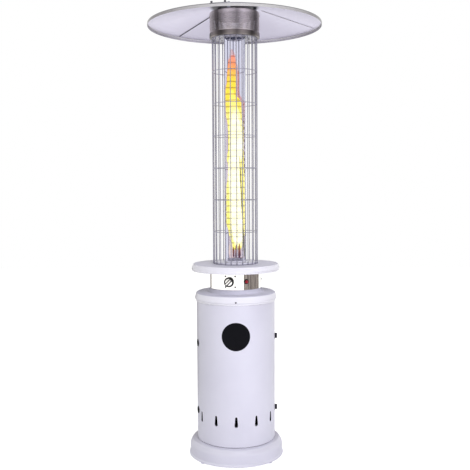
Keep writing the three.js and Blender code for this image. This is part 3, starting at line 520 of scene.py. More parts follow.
def make_piece(name, part, coat, sharp=35, tidy=True):
    """A mesh piece in metres from a part in millimetres."""
    shape = bmesh.new()
    corners = [shape.verts.new(Vector(v) * MM) for v in part[0]]
    for face in part[1]:
        shape.faces.new([corners[i] for i in face])
    if tidy:
        bmesh.ops.remove_doubles(shape, verts=shape.verts, dist=weld)
        bmesh.ops.recalc_face_normals(shape, faces=shape.faces)
    mesh = bpy.data.meshes.new(name)
    shape.to_mesh(mesh)
    shape.free()
    mesh.shade_smooth()
    mesh.set_sharp_from_angle(angle=radians(sharp))
    mesh.materials.append(coat)
    made = bpy.data.objects.new(name, mesh)
    scene.collection.objects.link(made)
    return made


def fit(made, body, slot, *stands_for):
    """Let a piece ride on a body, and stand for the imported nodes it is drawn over."""
    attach(made, body)
    if stands_for:
        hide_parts(*stands_for)
    print(made.name, len(made.data.polygons), "faces on", body)


def radius_of(name):
    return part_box(name)[1].y / MM


def top_of(name):
    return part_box(name)[1].z / MM


def foot_of(name):
    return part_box(name)[0].z / MM


print("mesh helpers ready")

# %% [markdown]
# ## Walls with holes
# The door and the shell are rolled from a flat blank that was pierced first. The helper does the
# same: it triangulates the flat blank round its holes, drops what lies in a hole and gives the sheet
# its thickness, with side walls where it ends.
# %% Make the piercing helpers
cut_precision = 1e-5


def in_loop(point, loop):
    inside = False
    for (x0, y0), (x1, y1) in zip(loop, loop[1:] + loop[:1]):
        if (y0 > point[1]) != (y1 > point[1]) and point[0] < x0 + (point[1] - y0) / (y1 - y0) * (x1 - x0):
            inside = not inside
    return inside


def pierced(blank, holes, bends, outer, inner):
    """Triangulate a flat blank round its holes; outer and inner map a flat point to both faces."""
    points, edges = [], []
    for loop in [blank, *holes]:
        base = len(points)
        points += [Vector(p) for p in loop]
        edges += [(base + i, base + (i + 1) % len(loop)) for i in range(len(loop))]
    for line in bends:
        edges.append((len(points), len(points) + 1))
        points += [Vector(p) for p in line]
    flat, _, triangles, *_ = delaunay_2d_cdt(points, edges, [], 0, cut_precision)
    ids, numbers, flat_ids = {}, [], []
    for p in flat:
        key = tuple(round(x, 3) for x in outer(p))
        if key not in ids:
            ids[key] = len(numbers)
            numbers.append(p)
        flat_ids.append(ids[key])
    kept = []
    for triangle in triangles:
        middle = sum((flat[i] for i in triangle), Vector((0, 0))) / 3
        if in_loop(middle, blank) and not any(in_loop(middle, hole) for hole in holes):
            named = [flat_ids[i] for i in triangle]
            if len(set(named)) == 3:
                kept.append(named)
    count = len(numbers)
    verts = [tuple(outer(p)) for p in numbers] + [tuple(inner(p)) for p in numbers]
    used = {(a, b) for t in kept for a, b in zip(t, t[1:] + t[:1])}
    faces = kept + [[count + i for i in reversed(t)] for t in kept]
    faces += [[b, a, a + count, b + count] for a, b in used if (b, a) not in used]
    return verts, faces


print("piercing helpers ready")

# %% [markdown]
# Bending is a map from the flat blank to the round wall. The blank gets a line of points every three
# degrees, because a triangle can only bend along its edges.
# %% Make the bending helpers
def bent(radius, rolled_at):
    """Map a flat point, with x measured along a wall rolled at one radius, to a face at another."""
    def bend(p):
        angle = p[0] / rolled_at
        return Vector((radius * sin(angle), -radius * cos(angle), p[1]))
    return bend


def round_wall(radius, wall, foot, top, start, end, holes, pitch=3):
    """A rolled, pierced wall; holes are loops of (angle in degrees, height)."""
    arc = radians(1) * radius
    steps = round((end - start) / pitch)
    angles = [start + (end - start) * i / steps for i in range(steps + 1)]
    blank = [(a * arc, foot) for a in angles] + [(a * arc, top) for a in reversed(angles)]
    flat_holes = [[(a * arc, z) for a, z in hole] for hole in holes]
    bends = [((a * arc, foot), (a * arc, top)) for a in angles[1:-1]]
    return pierced(blank, flat_holes, bends, bent(radius, radius), bent(radius - wall, radius))


print("bending helpers ready")

# %% [markdown]
# Holes are loops of points. The triangles of a pierced wall are uneven and would shade badly, so the
# wall gets normals that point straight out from the axis.
# %% Make the hole and shading helpers
def circle(centre, radius, count=40):
    turns = [2 * pi * i / count for i in range(count)]
    return [(centre[0] + radius * cos(a), centre[1] + radius * sin(a)) for a in turns]


def wall_circle(angle, height, wall_radius, hole_radius, count=48):
    """A round hole drilled straight into a round wall, as (angle, height) points."""
    return [(angle + degrees(atan2(x, sqrt(wall_radius ** 2 - x ** 2))), height + y)
            for x, y in circle((0, 0), hole_radius, count)]


def shade_round(made):
    """Normals straight out on the walls of a piece, and flat ones on its narrow edges."""
    mesh = made.data
    normals = []
    for face in mesh.polygons:
        for i in face.loop_indices:
            at = mesh.vertices[mesh.loops[i].vertex_index].co
            out = Vector((at.x, at.y, 0)).normalized()
            side = face.normal.dot(out)
            normals.append((out if side > 0 else -out) if abs(side) > 0.9 else face.normal.copy())
    mesh.normals_split_custom_set(normals)
    return made


print("hole helpers ready")

# %% [markdown]
# ## Base
# The foot is one spun ring: it is rolled under at the floor, flares out, rises as a short wall and
# rounds over into a shoulder that grips the housing. A lathe outline with fillets follows the same
# bends. Rubber pads and the bottle's floor plate are small and plain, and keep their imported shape.
# %% Make the base
sheet_wall = 1.2
housing_radius = radius_of("housing_rear")
flare_radius = radius_of("base_cover")
base_foot = foot_of("base_cover")
base_wall_radius, base_wall_top = 221.3, 56
shoulder_radius, shoulder_height = 208, 77.5
collar_radius, collar_height = housing_radius - 1.8, 20
base_top = 80
base_skin = rounded([
    (flare_radius - 14, base_foot, 0), (flare_radius, base_foot, 2), (flare_radius, base_foot + 4, 3),
    (base_wall_radius, base_foot + 11, 5), (base_wall_radius, base_wall_top, 26),
    (shoulder_radius, shoulder_height, 22), (housing_radius + 3, base_top, 3),
    (collar_radius, base_top, 0.6), (collar_radius, base_top + collar_height, 0)], 8)
base = make_piece("base_ring", revolve(sheet(base_skin, sheet_wall), 192), body_steel)
fit(base, "frame", "body_steel", "base_cover")

# %% [markdown]
# ## Housing and door
# The rear half is fixed and the front half is the door, hinged on its right edge. Both carry the same
# drop-shaped air slots low down, one every thirty degrees. The door also has a large round vent and
# two finger holes. A narrow lip behind the hinge seam keeps daylight out, and the door swings away
# from it.
# %% Make the housing walls
slot_pitch, slot_foot, slot_height, slot_wide, slot_narrow = 30, 176.5, 49, 8, 5
slot_steps = (-2, -1, 0, 1, 2)
half_seam = degrees(1 / housing_radius)
vent_height, vent_radius = 598.2, 65.5
grip_angle, grip_heights, grip_radius = -75, {"lower": 221.4, "upper": 544.6}, 14
rear_foot, rear_top = foot_of("housing_rear"), top_of("housing_rear")
door_foot, door_top = foot_of("housing_door") + 1, top_of("housing_door")
top_gap = 2
lip_radius, lip_half = housing_radius - sheet_wall - 0.3, 2.4


def slot_loop(angle, steps=8):
    """A drop-shaped slot as (angle, height) points: a wide round foot and a narrow round top."""
    turns = [pi * i / steps for i in range(steps + 1)]
    low = [(slot_wide * cos(pi + a), slot_wide + slot_wide * sin(pi + a)) for a in turns]
    high = [(slot_narrow * cos(a), slot_height - slot_narrow + slot_narrow * sin(a)) for a in turns]
    return [(angle + degrees(x / housing_radius), slot_foot + y) for x, y in low + high]


def housing_wall(foot, top, start, end, holes=()):
    return round_wall(housing_radius, sheet_wall, foot, top, start, end, holes)


rear_slots = [slot_loop(180 + slot_pitch * i) for i in slot_steps]
rear = joined(
    housing_wall(rear_foot, door_top, 90 + half_seam, 270 - half_seam, rear_slots),
    housing_wall(door_top, door_top + top_gap, 90 + half_seam, 270 - half_seam),
    housing_wall(door_top + top_gap, rear_top, -180, 180))
rear_shell = shade_round(make_piece("rear_shell", rear, body_steel))
fit(rear_shell, "frame", "body_steel", "housing_rear")
# The lip is black with painted shade, so the seam shows as a dark line.
door_lip = round_wall(lip_radius, sheet_wall, rear_foot, door_top, 90 - lip_half, 90 + lip_half, ())
fit(make_piece("door_lip", door_lip, vent_black), "frame", "body_steel")
door_holes = [slot_loop(slot_pitch * i) for i in slot_steps]
door_holes.append(wall_circle(0, vent_height, housing_radius, vent_radius, 96))
door_holes += [wall_circle(grip_angle, z, housing_radius, grip_radius) for z in grip_heights.values()]
door = housing_wall(door_foot, door_top, -90 + half_seam, 90 - half_seam, door_holes)
front_door = shade_round(make_piece("front_door", door, body_steel))
fit(front_door, "door", "body_steel", "housing_door")

# %% [markdown]
# ## Repeated shapes
# What repeats is built by Geometry Nodes trees: the perforated sheets, the screws and the wire guard.
# A tree gets its sizes through named inputs, and ends by making its copies real and setting their
# material.
# %% Make the tree helpers
def geometry_tree(name, inputs):
    tree = bpy.data.node_groups.new(name, "GeometryNodeTree")
    tree.interface.new_socket("Geometry", in_out="INPUT", socket_type="NodeSocketGeometry")
    for label, kind in inputs.items():
        tree.interface.new_socket(label, in_out="INPUT", socket_type=f"NodeSocket{kind}")
    tree.interface.new_socket("Geometry", in_out="OUTPUT", socket_type="NodeSocketGeometry")
    return tree, node(tree, "NodeGroupInput").outputs


def realized(tree, instances):
    return node(tree, "GeometryNodeRealizeInstances", {"Geometry": instances}).outputs["Geometry"]


def merged(tree, geometry):
    inputs = {"Geometry": geometry, "Distance": 2e-5}
    return node(tree, "GeometryNodeMergeByDistance", inputs).outputs["Geometry"]


def finish_tree(tree, geometry, material):
    """End a tree: set the material and pass the geometry out."""
    coated = node(tree, "GeometryNodeSetMaterial", {"Geometry": geometry, "Material": material})
    node(tree, "NodeGroupOutput", {"Geometry": coated.outputs["Geometry"]})
    print("tree", tree.name, len(tree.nodes), "nodes")


print("tree helpers ready")

# %% [markdown]
# The vent mesh and the head screen are both sheets with hundreds of staggered holes. The tree lays one
# small cell with its hole on a staggered grid, keeps the cells inside a circle, merges them into one
# sheet and wraps it round the axis.
# %% Build the perforation tree
screen_tree, given = geometry_tree("perforated_sheet", {
    "Cell": "Object", "Pitch": "Float", "Columns": "Int", "Rows": "Int", "Keep Radius": "Float",
    "Wall Radius": "Float", "Middle Height": "Float", "Finish": "Material"})


def screen_math(operation, first, second=0.0):
    return worked_out(screen_tree, operation, first, second)


row_pitch = screen_math("MULTIPLY", given["Pitch"], sqrt(3) / 2)
wide = screen_math("MULTIPLY", screen_math("SUBTRACT", given["Columns"], 1), given["Pitch"])
high = screen_math("MULTIPLY", screen_math("SUBTRACT", given["Rows"], 1), row_pitch)
grid = node(screen_tree, "GeometryNodeMeshGrid", {
    "Size X": wide, "Size Y": high, "Vertices X": given["Columns"], "Vertices Y": given["Rows"]})
where = node(screen_tree, "GeometryNodeInputPosition").outputs[0]
split = node(screen_tree, "ShaderNodeSeparateXYZ", {0: where}).outputs
above_foot = screen_math("ADD", split["Y"], screen_math("MULTIPLY", high, 0.5))
row = screen_math("ROUND", screen_math("DIVIDE", above_foot, row_pitch))
odd_row = screen_math("MODULO", row, 2.0)
shift = screen_math("MULTIPLY", odd_row, screen_math("MULTIPLY", given["Pitch"], 0.5))
offset = node(screen_tree, "ShaderNodeCombineXYZ", {"X": shift}).outputs[0]
staggered = node(screen_tree, "GeometryNodeSetPosition", {"Geometry": grid.outputs["Mesh"], "Offset": offset})
far = node(screen_tree, "ShaderNodeVectorMath", {0: where}, operation="LENGTH").outputs["Value"]
kept = node(screen_tree, "GeometryNodeDeleteGeometry", {
    "Geometry": staggered.outputs["Geometry"],
    "Selection": screen_math("GREATER_THAN", far, given["Keep Radius"])}, domain="POINT")
shape = node(screen_tree, "GeometryNodeObjectInfo", {"Object": given["Cell"]}).outputs["Geometry"]
laid = node(screen_tree, "GeometryNodeInstanceOnPoints", {
    "Points": kept.outputs["Geometry"], "Instance": shape})
flat_sheet = merged(screen_tree, realized(screen_tree, laid.outputs["Instances"]))
angle = screen_math("DIVIDE", split["X"], given["Wall Radius"])
reach = screen_math("ADD", given["Wall Radius"], split["Z"])
rolled = node(screen_tree, "ShaderNodeCombineXYZ", {
    "X": screen_math("MULTIPLY", reach, screen_math("SINE", angle)),
    "Y": screen_math("MULTIPLY", screen_math("MULTIPLY", reach, -1.0), screen_math("COSINE", angle)),
    "Z": screen_math("ADD", split["Y"], given["Middle Height"])}).outputs[0]
wrapped = node(screen_tree, "GeometryNodeSetPosition", {"Geometry": flat_sheet, "Position": rolled})
finish_tree(screen_tree, merged(screen_tree, wrapped.outputs["Geometry"]), given["Finish"])

# %% [markdown]
# A tree runs as a modifier on an empty carrier. The result is then kept as a plain mesh and the
# carrier is thrown away, so nothing live is left in the file.
# %% Run a tree
def grown(name, tree, values, start=None, sharp=35):
    """Run a tree on a carrier object and keep its result as a plain mesh."""
    carrier = start or bpy.data.objects.new(name + "_carrier", bpy.data.meshes.new(name + "_carrier"))
    scene.collection.objects.link(carrier)
    modifier = carrier.modifiers.new(tree.name, "NODES")
    modifier.node_group = tree
    for item in tree.interface.items_tree:
        if item.in_out == "INPUT" and item.name in values:
            modifier[item.identifier] = values[item.name]
    depsgraph = bpy.context.evaluated_depsgraph_get()
    mesh = bpy.data.meshes.new_from_object(carrier.evaluated_get(depsgraph), depsgraph=depsgraph)
    mesh.name = name
    mesh.shade_smooth()
    mesh.set_sharp_from_angle(angle=radians(sharp))
    bpy.data.objects.remove(carrier)
    made = bpy.data.objects.new(name, mesh)
    scene.collection.objects.link(made)
    return made


print("tree runner ready")

# %% [markdown]
# The cell is a hexagon, because hexagons fill a staggered grid without gaps. It is repeated so often
# that it has few faces: six sides outside and twelve round the hole.
# %% Make the cell
def cell(name, pitch, hole_radius, wall):
    """A six-sided cell with a twelve-sided hole, one wall thick, lying in the XY plane."""
    side = pitch / sqrt(3)
    verts, faces = [], []
    for z in (0, -wall):
        verts += [(side * sin(pi * i / 3), side * cos(pi * i / 3), z) for i in range(6)]
        for i in range(12):
            at = pi * i / 6 - pi / 12
            verts.append((hole_radius * sin(at), hole_radius * cos(at), z))
    for i in range(6):
        j = (i + 1) % 6
        a, b, c = 6 + 2 * i, 7 + 2 * i, 6 + 2 * j
        for level in (0, 18):
            faces += [[level + n for n in (i, b, a)], [level + n for n in (i, j, c, b)]]
        faces += [[a, b, b + 18, a + 18], [b, c, c + 18, b + 18]]
    made = make_piece(name, (verts, faces), vent_black, tidy=False)
    shape = bmesh.new()
    shape.from_mesh(made.data)
    for face in shape.faces:
        middle = face.calc_center_median() / MM
        if abs(face.normal.z) > 0.5:
            if face.normal.z * (middle.z + wall / 2) < 0:
                face.normal_flip()
        elif face.normal.dot(Vector((middle.x, middle.y, 0))) > 0:
            face.normal_flip()
    shape.to_mesh(made.data)
    shape.free()
    return made


print("cell helper ready")

# %% [markdown]
# ## Vent
# The vent's mesh sits behind the round hole in the door and moves with it. The grid of cells ends
# unevenly at its circle, so a plain ring covers that edge.
# %% Make the vent
vent_outer = housing_radius - sheet_wall - 0.6
vent_cell = cell("vent_cell", 5, 1.55, 1)
vent_mesh = grown("vent_mesh", screen_tree, {
    "Cell": vent_cell, "Pitch": 0.005, "Columns": 29, "Rows": 33, "Keep Radius": vent_radius * MM,
    "Wall Radius": vent_outer * MM, "Middle Height": vent_height * MM, "Finish": vent_black})
bpy.data.objects.remove(vent_cell)
fit(vent_mesh, "door", "vent_black", "vent_screen")
arc = radians(vent_outer)
rim_loops = [wall_circle(0, vent_height, vent_outer, r, 96) for r in (vent_radius + 5.5, vent_radius - 4.5)]
rim_blank, rim_hole = [[(a * arc, z) for a, z in loop] for loop in rim_loops]
rim_front, rim_back = vent_outer + 0.3, vent_outer - 1.3
vent_rim = pierced(rim_blank, [rim_hole], [], bent(rim_front, vent_outer), bent(rim_back, vent_outer))
fit(shade_round(make_piece("vent_edge", vent_rim, vent_black)), "door", "vent_black")

# %% [markdown]
# The inner faces get the vent's black as painted shade, so the slots and the vent look black from
# outside. A rule finds them by their normals: an inner face looks toward the axis. The collar that the
# housing sits on gets the same painted shade, which draws the joint above the base.
# %% Paint shade on the inner faces
def recoat(made, coat, chosen):
    """Give the chosen faces of a piece another finish."""
    made.data.materials.append(coat)
    slot = len(made.data.materials) - 1
    faces = [face for face in made.data.polygons if chosen(face)]
    for face in faces:
        face.material_index = slot
    print(made.name, len(faces), "faces in", coat.name)


def outward(face):
    return Vector((face.center.x, face.center.y, 0))


def looks_in(face):
    return face.normal.dot(outward(face).normalized()) < -0.5


recoat(front_door, vent_black, looks_in)
recoat(rear_shell, vent_black, looks_in)
recoat(base, vent_black, lambda face: face.center.z > (base_top + 0.5) * MM)

# %% [markdown]
# ## Hinges
# Two lift-off hinges carry the door. The lower knuckle with its pin belongs to the fixed leaf, and
# the sleeve above it to the door's leaf, so the door can be lifted off. Plates with bevelled edges
# and turned knuckles show the bright edges of pressed steel.
# %% Make the hinges
hinge_heights = {"lower": 220, "upper": 568}
hinge_half, hinge_axis = 12, housing_radius + 7
knuckle_radius, pin_radius, bore_radius, half_gap = 5, 2.5, 2.8, 0.15
leaf_face, leaf_wall, leaf_near, leaf_far = housing_radius - 0.72, 2, 2, 20
leaf_back, web_far = leaf_face + leaf_wall, 2 * leaf_near
for name, height in hinge_heights.items():
    axis = Matrix.Translation((hinge_axis, 0, height))
    lift = Matrix.Translation((0, 0, height))
    knuckle = rod(knuckle_radius, -hinge_half, -half_gap, 0.8, 0.4)
    pin = rod(pin_radius, -1, hinge_half, 0, 0.8, 24)
    plate = bevelled_box((leaf_face, leaf_near, -hinge_half), (leaf_back, leaf_far, hinge_half), 0.5)
    web = bevelled_box((leaf_face, leaf_near, -hinge_half), (hinge_axis, web_far, -half_gap), 0.4)
    fixed_leaf = joined(placed(joined(knuckle, pin), axis), placed(plate, lift), placed(web, lift))
    made = make_piece(f"hinge_fixed_{name}", fixed_leaf, hinge_steel)
    fit(made, "frame", "dark_steel", f"hinge_frame_leaf_{name}")
    sleeve_skin = rounded([(bore_radius, half_gap, 0), (knuckle_radius, half_gap, 0.4),
                           (knuckle_radius, hinge_half, 0.8), (bore_radius, hinge_half, 0)])
    sleeve = revolve(sleeve_skin + [(bore_radius, half_gap)], 32, closed=False)
    plate = bevelled_box((leaf_face, -leaf_far, -hinge_half), (leaf_back, -leaf_near, hinge_half), 0.5)
    web = bevelled_box((leaf_face, -web_far, half_gap), (hinge_axis - 3, -leaf_near, hinge_half), 0.4)
    swing_leaf = joined(placed(sleeve, axis), placed(plate, lift), placed(web, lift))
    made = make_piece(f"hinge_swing_{name}", swing_leaf, hinge_steel)
    fit(made, "door", "dark_steel", f"hinge_door_leaf_{name}")

# %% [markdown]
# The finger holes at the door's free edge are lined with rubber. A lining is one lathe shape with a
# lip on both sides of the sheet, set straight out from the wall.
# %% Line the finger holes
lining_bore, lining_neck, lining_back, lining_front = 11.5, 13.7, 15.6, 17
lining_skin = rounded([
    (lining_bore, -3.6, 0), (lining_back, -3.6, 0.5), (lining_back, -2.2, 0.3), (lining_neck, -2.2, 0),
    (lining_neck, 0.3, 0), (lining_front, 0.3, 0.4), (lining_front, 1.9, 0.7), (lining_bore, 1.9, 0.7),
    (lining_bore, -3.6, 0)], 4)
for name, height in grip_heights.items():
    lining = placed(revolve(lining_skin, 48, closed=False), on_wall(grip_angle, housing_radius, height))
    fit(make_piece(f"finger_lining_{name}", lining, rubber), "door", "rubber", f"finger_grommet_{name}")

# %% [markdown]
# ## Screws
# The screws repeat, so one pan-head screw is turned and gets a cross recess by a Boolean. A small tree
# then sets it on points that know which way they face.
# %% Make one screw and its tree
screw_tree, given = geometry_tree("screws_on_points", {"Screw": "Object", "Finish": "Material"})
facing = node(screw_tree, "GeometryNodeInputNamedAttribute", {"Name": "facing"}, data_type="FLOAT_VECTOR")
model = node(screw_tree, "GeometryNodeObjectInfo", {"Object": given["Screw"]}).outputs["Geometry"]
set_on = node(screw_tree, "GeometryNodeInstanceOnPoints", {
    "Points": given["Geometry"], "Instance": model, "Rotation": facing.outputs["Attribute"]})
finish_tree(screw_tree, realized(screw_tree, set_on.outputs["Instances"]), given["Finish"])
shank_radius, pan_radius, pan_height = 1.8, 4, 2.7
recess_foot, recess_length, recess_wide = 1.5, 2.3, 0.45
screw_skin = rounded([
    (0, -7, 0), (shank_radius, -7, 0.5), (shank_radius, 0.3, 0), (pan_radius, 0.3, 0.2),
    (pan_radius, 1.3, 1.2), (2.4, pan_height, 2), (0, pan_height, 0)], 4)
screw_model = make_piece("screw_model", revolve(screw_skin, 32, closed=False), dark_steel)
cross = joined(*[bevelled_box((-x, -y, recess_foot), (x, y, 4), 0.1, 1) for x, y in
                 ((recess_length, recess_wide), (recess_wide, recess_length))])
cutter = make_piece("screw_cutter", cross, dark_steel)
cut = screw_model.modifiers.new("recess", "BOOLEAN")
cut.object = cutter
cut.use_self = True
depsgraph = bpy.context.evaluated_depsgraph_get()
screw_model.data = bpy.data.meshes.new_from_object(screw_model.evaluated_get(depsgraph), depsgraph=depsgraph)
screw_model.modifiers.clear()
bpy.data.objects.remove(cutter)
print("screw", len(screw_model.data.polygons), "faces")

# %% [markdown]
# Each set of screws is one piece. The lid's three sit on its rolled bead, a third of a turn apart.
# %% Set the lid's screws
def screws(name, places, *stands_for):
    """One piece with a screw at each place, z out of the wall."""
    mesh = bpy.data.meshes.new(name + "_points")
    mesh.from_pydata([place.translation * MM for place in places], [], [])
    turns = mesh.attributes.new("facing", "FLOAT_VECTOR", "POINT")
    for item, place in zip(turns.data, places):
        item.vector = place.to_euler()
    start = bpy.data.objects.new(name + "_points", mesh)
    made = grown(name, screw_tree, {"Screw": screw_model, "Finish": dark_steel}, start)
    fit(made, "frame", "dark_steel", *stands_for)


lid_bead, lid_bead_rise = 195.3, 15
lid_foot = foot_of("housing_lid")
lid_places = [on_wall(a, lid_bead, lid_foot + lid_bead_rise) for a in (0, 120, 240)]
screws("lid_screws", lid_places, "lid_screw_1", "lid_screw_2", "lid_screw_3")

# %% [markdown]
# ## Lid
# The lid closes the housing: a short skirt, a rolled bead, a wall that leans in, a flat top and a
# low cone that carries the control band. Its wall has the lighter steel with painted light, and its
# faces that look up lie in the tray's shadow, so they get the greyer steel with painted shade.
# %% Make the lid
band_radius = radius_of("control_band")
band_foot, band_top = foot_of("control_band"), top_of("control_band")
lid_skirt, lid_rim, lid_flat_start, lid_flat_end = 189.3, 188.5, 182.5, 137
lid_rise, cone_top = 42.5, band_foot - 0.3
lid_skin = rounded([
    (lid_skirt, lid_foot, 0), (lid_skirt, lid_foot + 7, 2), (lid_bead - 1, lid_foot + 10, 2.5),
    (lid_bead, lid_foot + lid_bead_rise, 3), (lid_bead - 1, lid_foot + 20, 3), (lid_rim, lid_foot + 39, 4),
    (lid_flat_start, lid_foot + lid_rise, 4), (lid_flat_end, lid_foot + lid_rise, 8),
    (band_radius, cone_top, 4), (104, cone_top, 0)], 6)
lid = make_piece("lid", revolve(sheet(lid_skin, sheet_wall), 192), lid_steel_painted_light)
recoat(lid, shelf_steel_painted_shade, lambda face: face.normal.z > 0.5)
fit(lid, "frame", "body_steel", "housing_lid")

# %% [markdown]
# ## Control band and plate
# The band is polished, so it mirrors the studio. It has a hole for the valve's spindle and one for
# the igniter. The plate is the same sheet with rounded corners, bent to the band and held by four
# screws.
# %% Make the band and the plate
knob_angle, knob_height, spindle_hole = -14, 842, 6
igniter_angle, igniter_height, igniter_hole = 23.7, 843, 9.3
band_holes = [wall_circle(knob_angle, knob_height, band_radius, spindle_hole),
              wall_circle(igniter_angle, igniter_height, band_radius, igniter_hole)]
band = round_wall(band_radius, sheet_wall, band_foot, band_top, -180, 180, band_holes)
fit(shade_round(make_piece("control_ring", band, mirror_steel)), "frame", "mirror_steel", "control_band")
plate_outer = band_radius + 1.5
plate_low, plate_high, plate_round = 811, 876, 5
plate_middle, plate_half, screws_half = -11.8, 14.055, 14.2
screw_inset = 7.5
corner = degrees(plate_round / plate_outer)
plate_loop = []
for x, z, turn in ((1, plate_high - plate_round, 0), (-1, plate_high - plate_round, 90),
                   (-1, plate_low + plate_round, 180), (1, plate_low + plate_round, 270)):
    for a in [radians(turn + 15 * i) for i in range(7)]:
        along = plate_middle + x * (plate_half - corner) + corner * cos(a)
        plate_loop.append((along, z + plate_round * sin(a)))
arc = radians(plate_outer)
plate_blank = [(a * arc, z) for a, z in plate_loop]
plate_hole = [(a * arc, z) for a, z in wall_circle(knob_angle, knob_height, plate_outer, spindle_hole)]
plate_bends = [((a * arc, plate_low + 0.01), (a * arc, plate_high - 0.01)) for a in range(-23, 0, 2)]
plate_faces = [bent(radius, plate_outer) for radius in (plate_outer, plate_outer - sheet_wall)]
plate = pierced(plate_blank, [plate_hole], plate_bends, *plate_faces)
fit(shade_round(make_piece("control_panel", plate, mirror_steel)), "frame", "mirror_steel", "control_plate")
screw_turn = screws_half - degrees(screw_inset / plate_outer)
plate_places = [on_wall(plate_middle + x * screw_turn, plate_outer, z) for x in (-1, 1)
                for z in (plate_low + screw_inset, plate_high - screw_inset)]
screws("plate_screws", plate_places, *[f"plate_screw_{i}" for i in (1, 2, 3, 4)])
screws("band_side_screw", [on_wall(90, band_radius, knob_height)], "band_screw")

# %% [markdown]
# ## Knob
# The knob is a black moulding with a ribbed skirt and a bright cap. The cap has a raised grip bar
# with a bright strip, which stands at a slant when the gas is off. The bar is black round the strip,
# as painted shade on its sides. The ribs are a cosine on the radius of the skirt.
# %% Make the knob
knob_place = on_wall(knob_angle, band_radius, knob_height)
knob_back, skirt_radius, face_radius, cap_radius = 6, 23.5, 20.8, 16
face_height, cap_height = knob_back + 7.4, knob_back + 8
bar_height, strip_height = knob_back + 16.2, knob_back + 17
ribs, rib_depth_share, ribbed_beyond = 30, 0.035, 21.2
grip_slant = Matrix.Rotation(radians(45), 4, "Z")
skirt_skin = rounded([
    (0, knob_back, 0), (skirt_radius, knob_back, 0.8), (skirt_radius, knob_back + 6, 1),
    (face_radius, knob_back + 6.4, 0.5), (face_radius, face_height, 0.3), (0, face_height, 0)], 3)


def ribbed(vert):
    x, y, z = vert
    rib = 0.5 + 0.5 * cos(ribs * atan2(y, x))
    scale = 1 - rib_depth_share * rib if hypot(x, y) > ribbed_beyond else 1
    return (x * scale, y * scale, z)


skirt_verts, skirt_faces = revolve(skirt_skin, ribs * 6, closed=False)
skirt = [ribbed(vert) for vert in skirt_verts], skirt_faces
cap_disc = rod(cap_radius, face_height - 0.2, cap_height, 0, 0.7, 64, 4)
bar = placed(bevelled_box((-19.5, -7.6, face_height), (19.5, 7.6, bar_height), 1.4, 4), grip_slant)
strip = placed(bevelled_box((-15.5, -2.8, bar_height - 0.4), (15.5, 2.8, strip_height), 0.4, 2), grip_slant)
knob_skirt = make_piece("knob_skirt", placed(skirt, knob_place), black_plastic, 50)
fit(knob_skirt, "knob", "black_plastic", "control_knob")
fit(make_piece("knob_cap", placed(cap_disc, knob_place), mirror_steel, 40), "knob", "mirror_steel")
# The bar's black is painted shade along the bright strip.
fit(make_piece("knob_bar", placed(bar, knob_place), black_plastic, 40), "knob", "black_plastic")
fit(make_piece("knob_strip", placed(strip, knob_place), mirror_steel, 40), "knob", "mirror_steel")

# %% [markdown]
# ## Igniter
# The igniter is a red push button in a black ring. Both are lathe shapes set straight out from the
# band, and only the button moves.
# %% Make the igniter
igniter_place = on_wall(igniter_angle, band_radius, igniter_height)
ring_bore, ring_neck, ring_front, button_radius = 7.6, 9, 12.3, 7.3
ring_skin = rounded([
    (ring_bore, -8, 0), (ring_neck, -8, 0), (ring_neck, 0.3, 0), (ring_front, 0.3, 0.4),
    (ring_front, 2.3, 1), (ring_bore, 2.3, 0.6), (ring_bore, -8, 0)], 4)
button_skin = rounded([
    (0, -3.5, 0), (button_radius, -3.5, 0), (button_radius, 7.3, 1.6), (4.5, 6.8, 2), (0, 6.4, 0)], 5)
ring = placed(revolve(ring_skin, 64, closed=False), igniter_place)
button = placed(revolve(button_skin, 48, closed=False), igniter_place)
fit(make_piece("igniter_ring", ring, black_plastic), "frame", "black_plastic", "igniter_bezel")
fit(make_piece("igniter_cap", button, red_plastic), "igniter", "red_plastic", "igniter_button")

# %% [markdown]
# ## Burner and tray
# The burner stands in the middle of the tray, hidden from most sides, with its mouth in the glass.
# The tray is a shallow spun lid with a rolled skirt, and shields the controls from the flame.
# %% Make the burner and the tray
burner_foot, burner_top = foot_of("burner_cup"), top_of("burner_cup")
burner_neck, burner_mouth, burner_bore = 24, 38, 6
burner_skin = rounded([
    (12, burner_foot, 0), (burner_neck, burner_foot, 2), (burner_neck, 915, 6), (burner_mouth, 926, 5),
    (burner_mouth, burner_top - 4, 2), (34, burner_top, 2), (burner_bore, burner_top, 0)], 4)
burner = make_piece("burner_head", revolve(sheet(burner_skin, 2), 64), burner_steel)
fit(burner, "frame", "burner_iron", "burner_cup")
tray_foot, tray_top = foot_of("tray"), top_of("tray")
tray_radius, tray_bore = 208.6, 52
tray_skin = rounded([
    (202.8, tray_foot, 0), (206.8, tray_foot, 1.5), (tray_radius, tray_foot + 5.5, 5),
    (tray_radius, tray_foot + 11.8, 8), (207, tray_top - 11, 8), (203.3, tray_top - 5.2, 1.5),
    (202.1, tray_top - 4, 0.8), (203.3, tray_top - 2, 1.5), (201.3, tray_top, 1.2),
    (tray_bore, tray_top, 0)], 5)
# The tray's wall takes the lid's lighter steel with painted light, and its flat top the greyer steel with
# painted shade.
tray = make_piece("wind_tray", revolve(sheet(tray_skin, sheet_wall), 192), lid_steel_painted_light)
recoat(tray, tray_top_painted_shade, lambda face: face.normal.z > 0.95 and face.center.z > (tray_top - 0.5) * MM)
fit(tray, "frame", "body_steel", "tray")

# %% [markdown]
# ## Deck and glass tube
# The glass stands on a low round deck with a ring of air holes, held by a short retainer. The tube
# is real glass with both of its surfaces, so the light bends in its wall and draws its edges.
# %% Make the deck and the glass
deck_foot, deck_radius = foot_of("tube_deck"), radius_of("tube_deck")
deck_top, deck_flat = deck_foot + 10, deck_radius - 4
glass_radius, glass_foot, glass_top = radius_of("glass_tube"), foot_of("glass_tube"), top_of("glass_tube")
glass_wall, glass_bevel = 2.5, 1


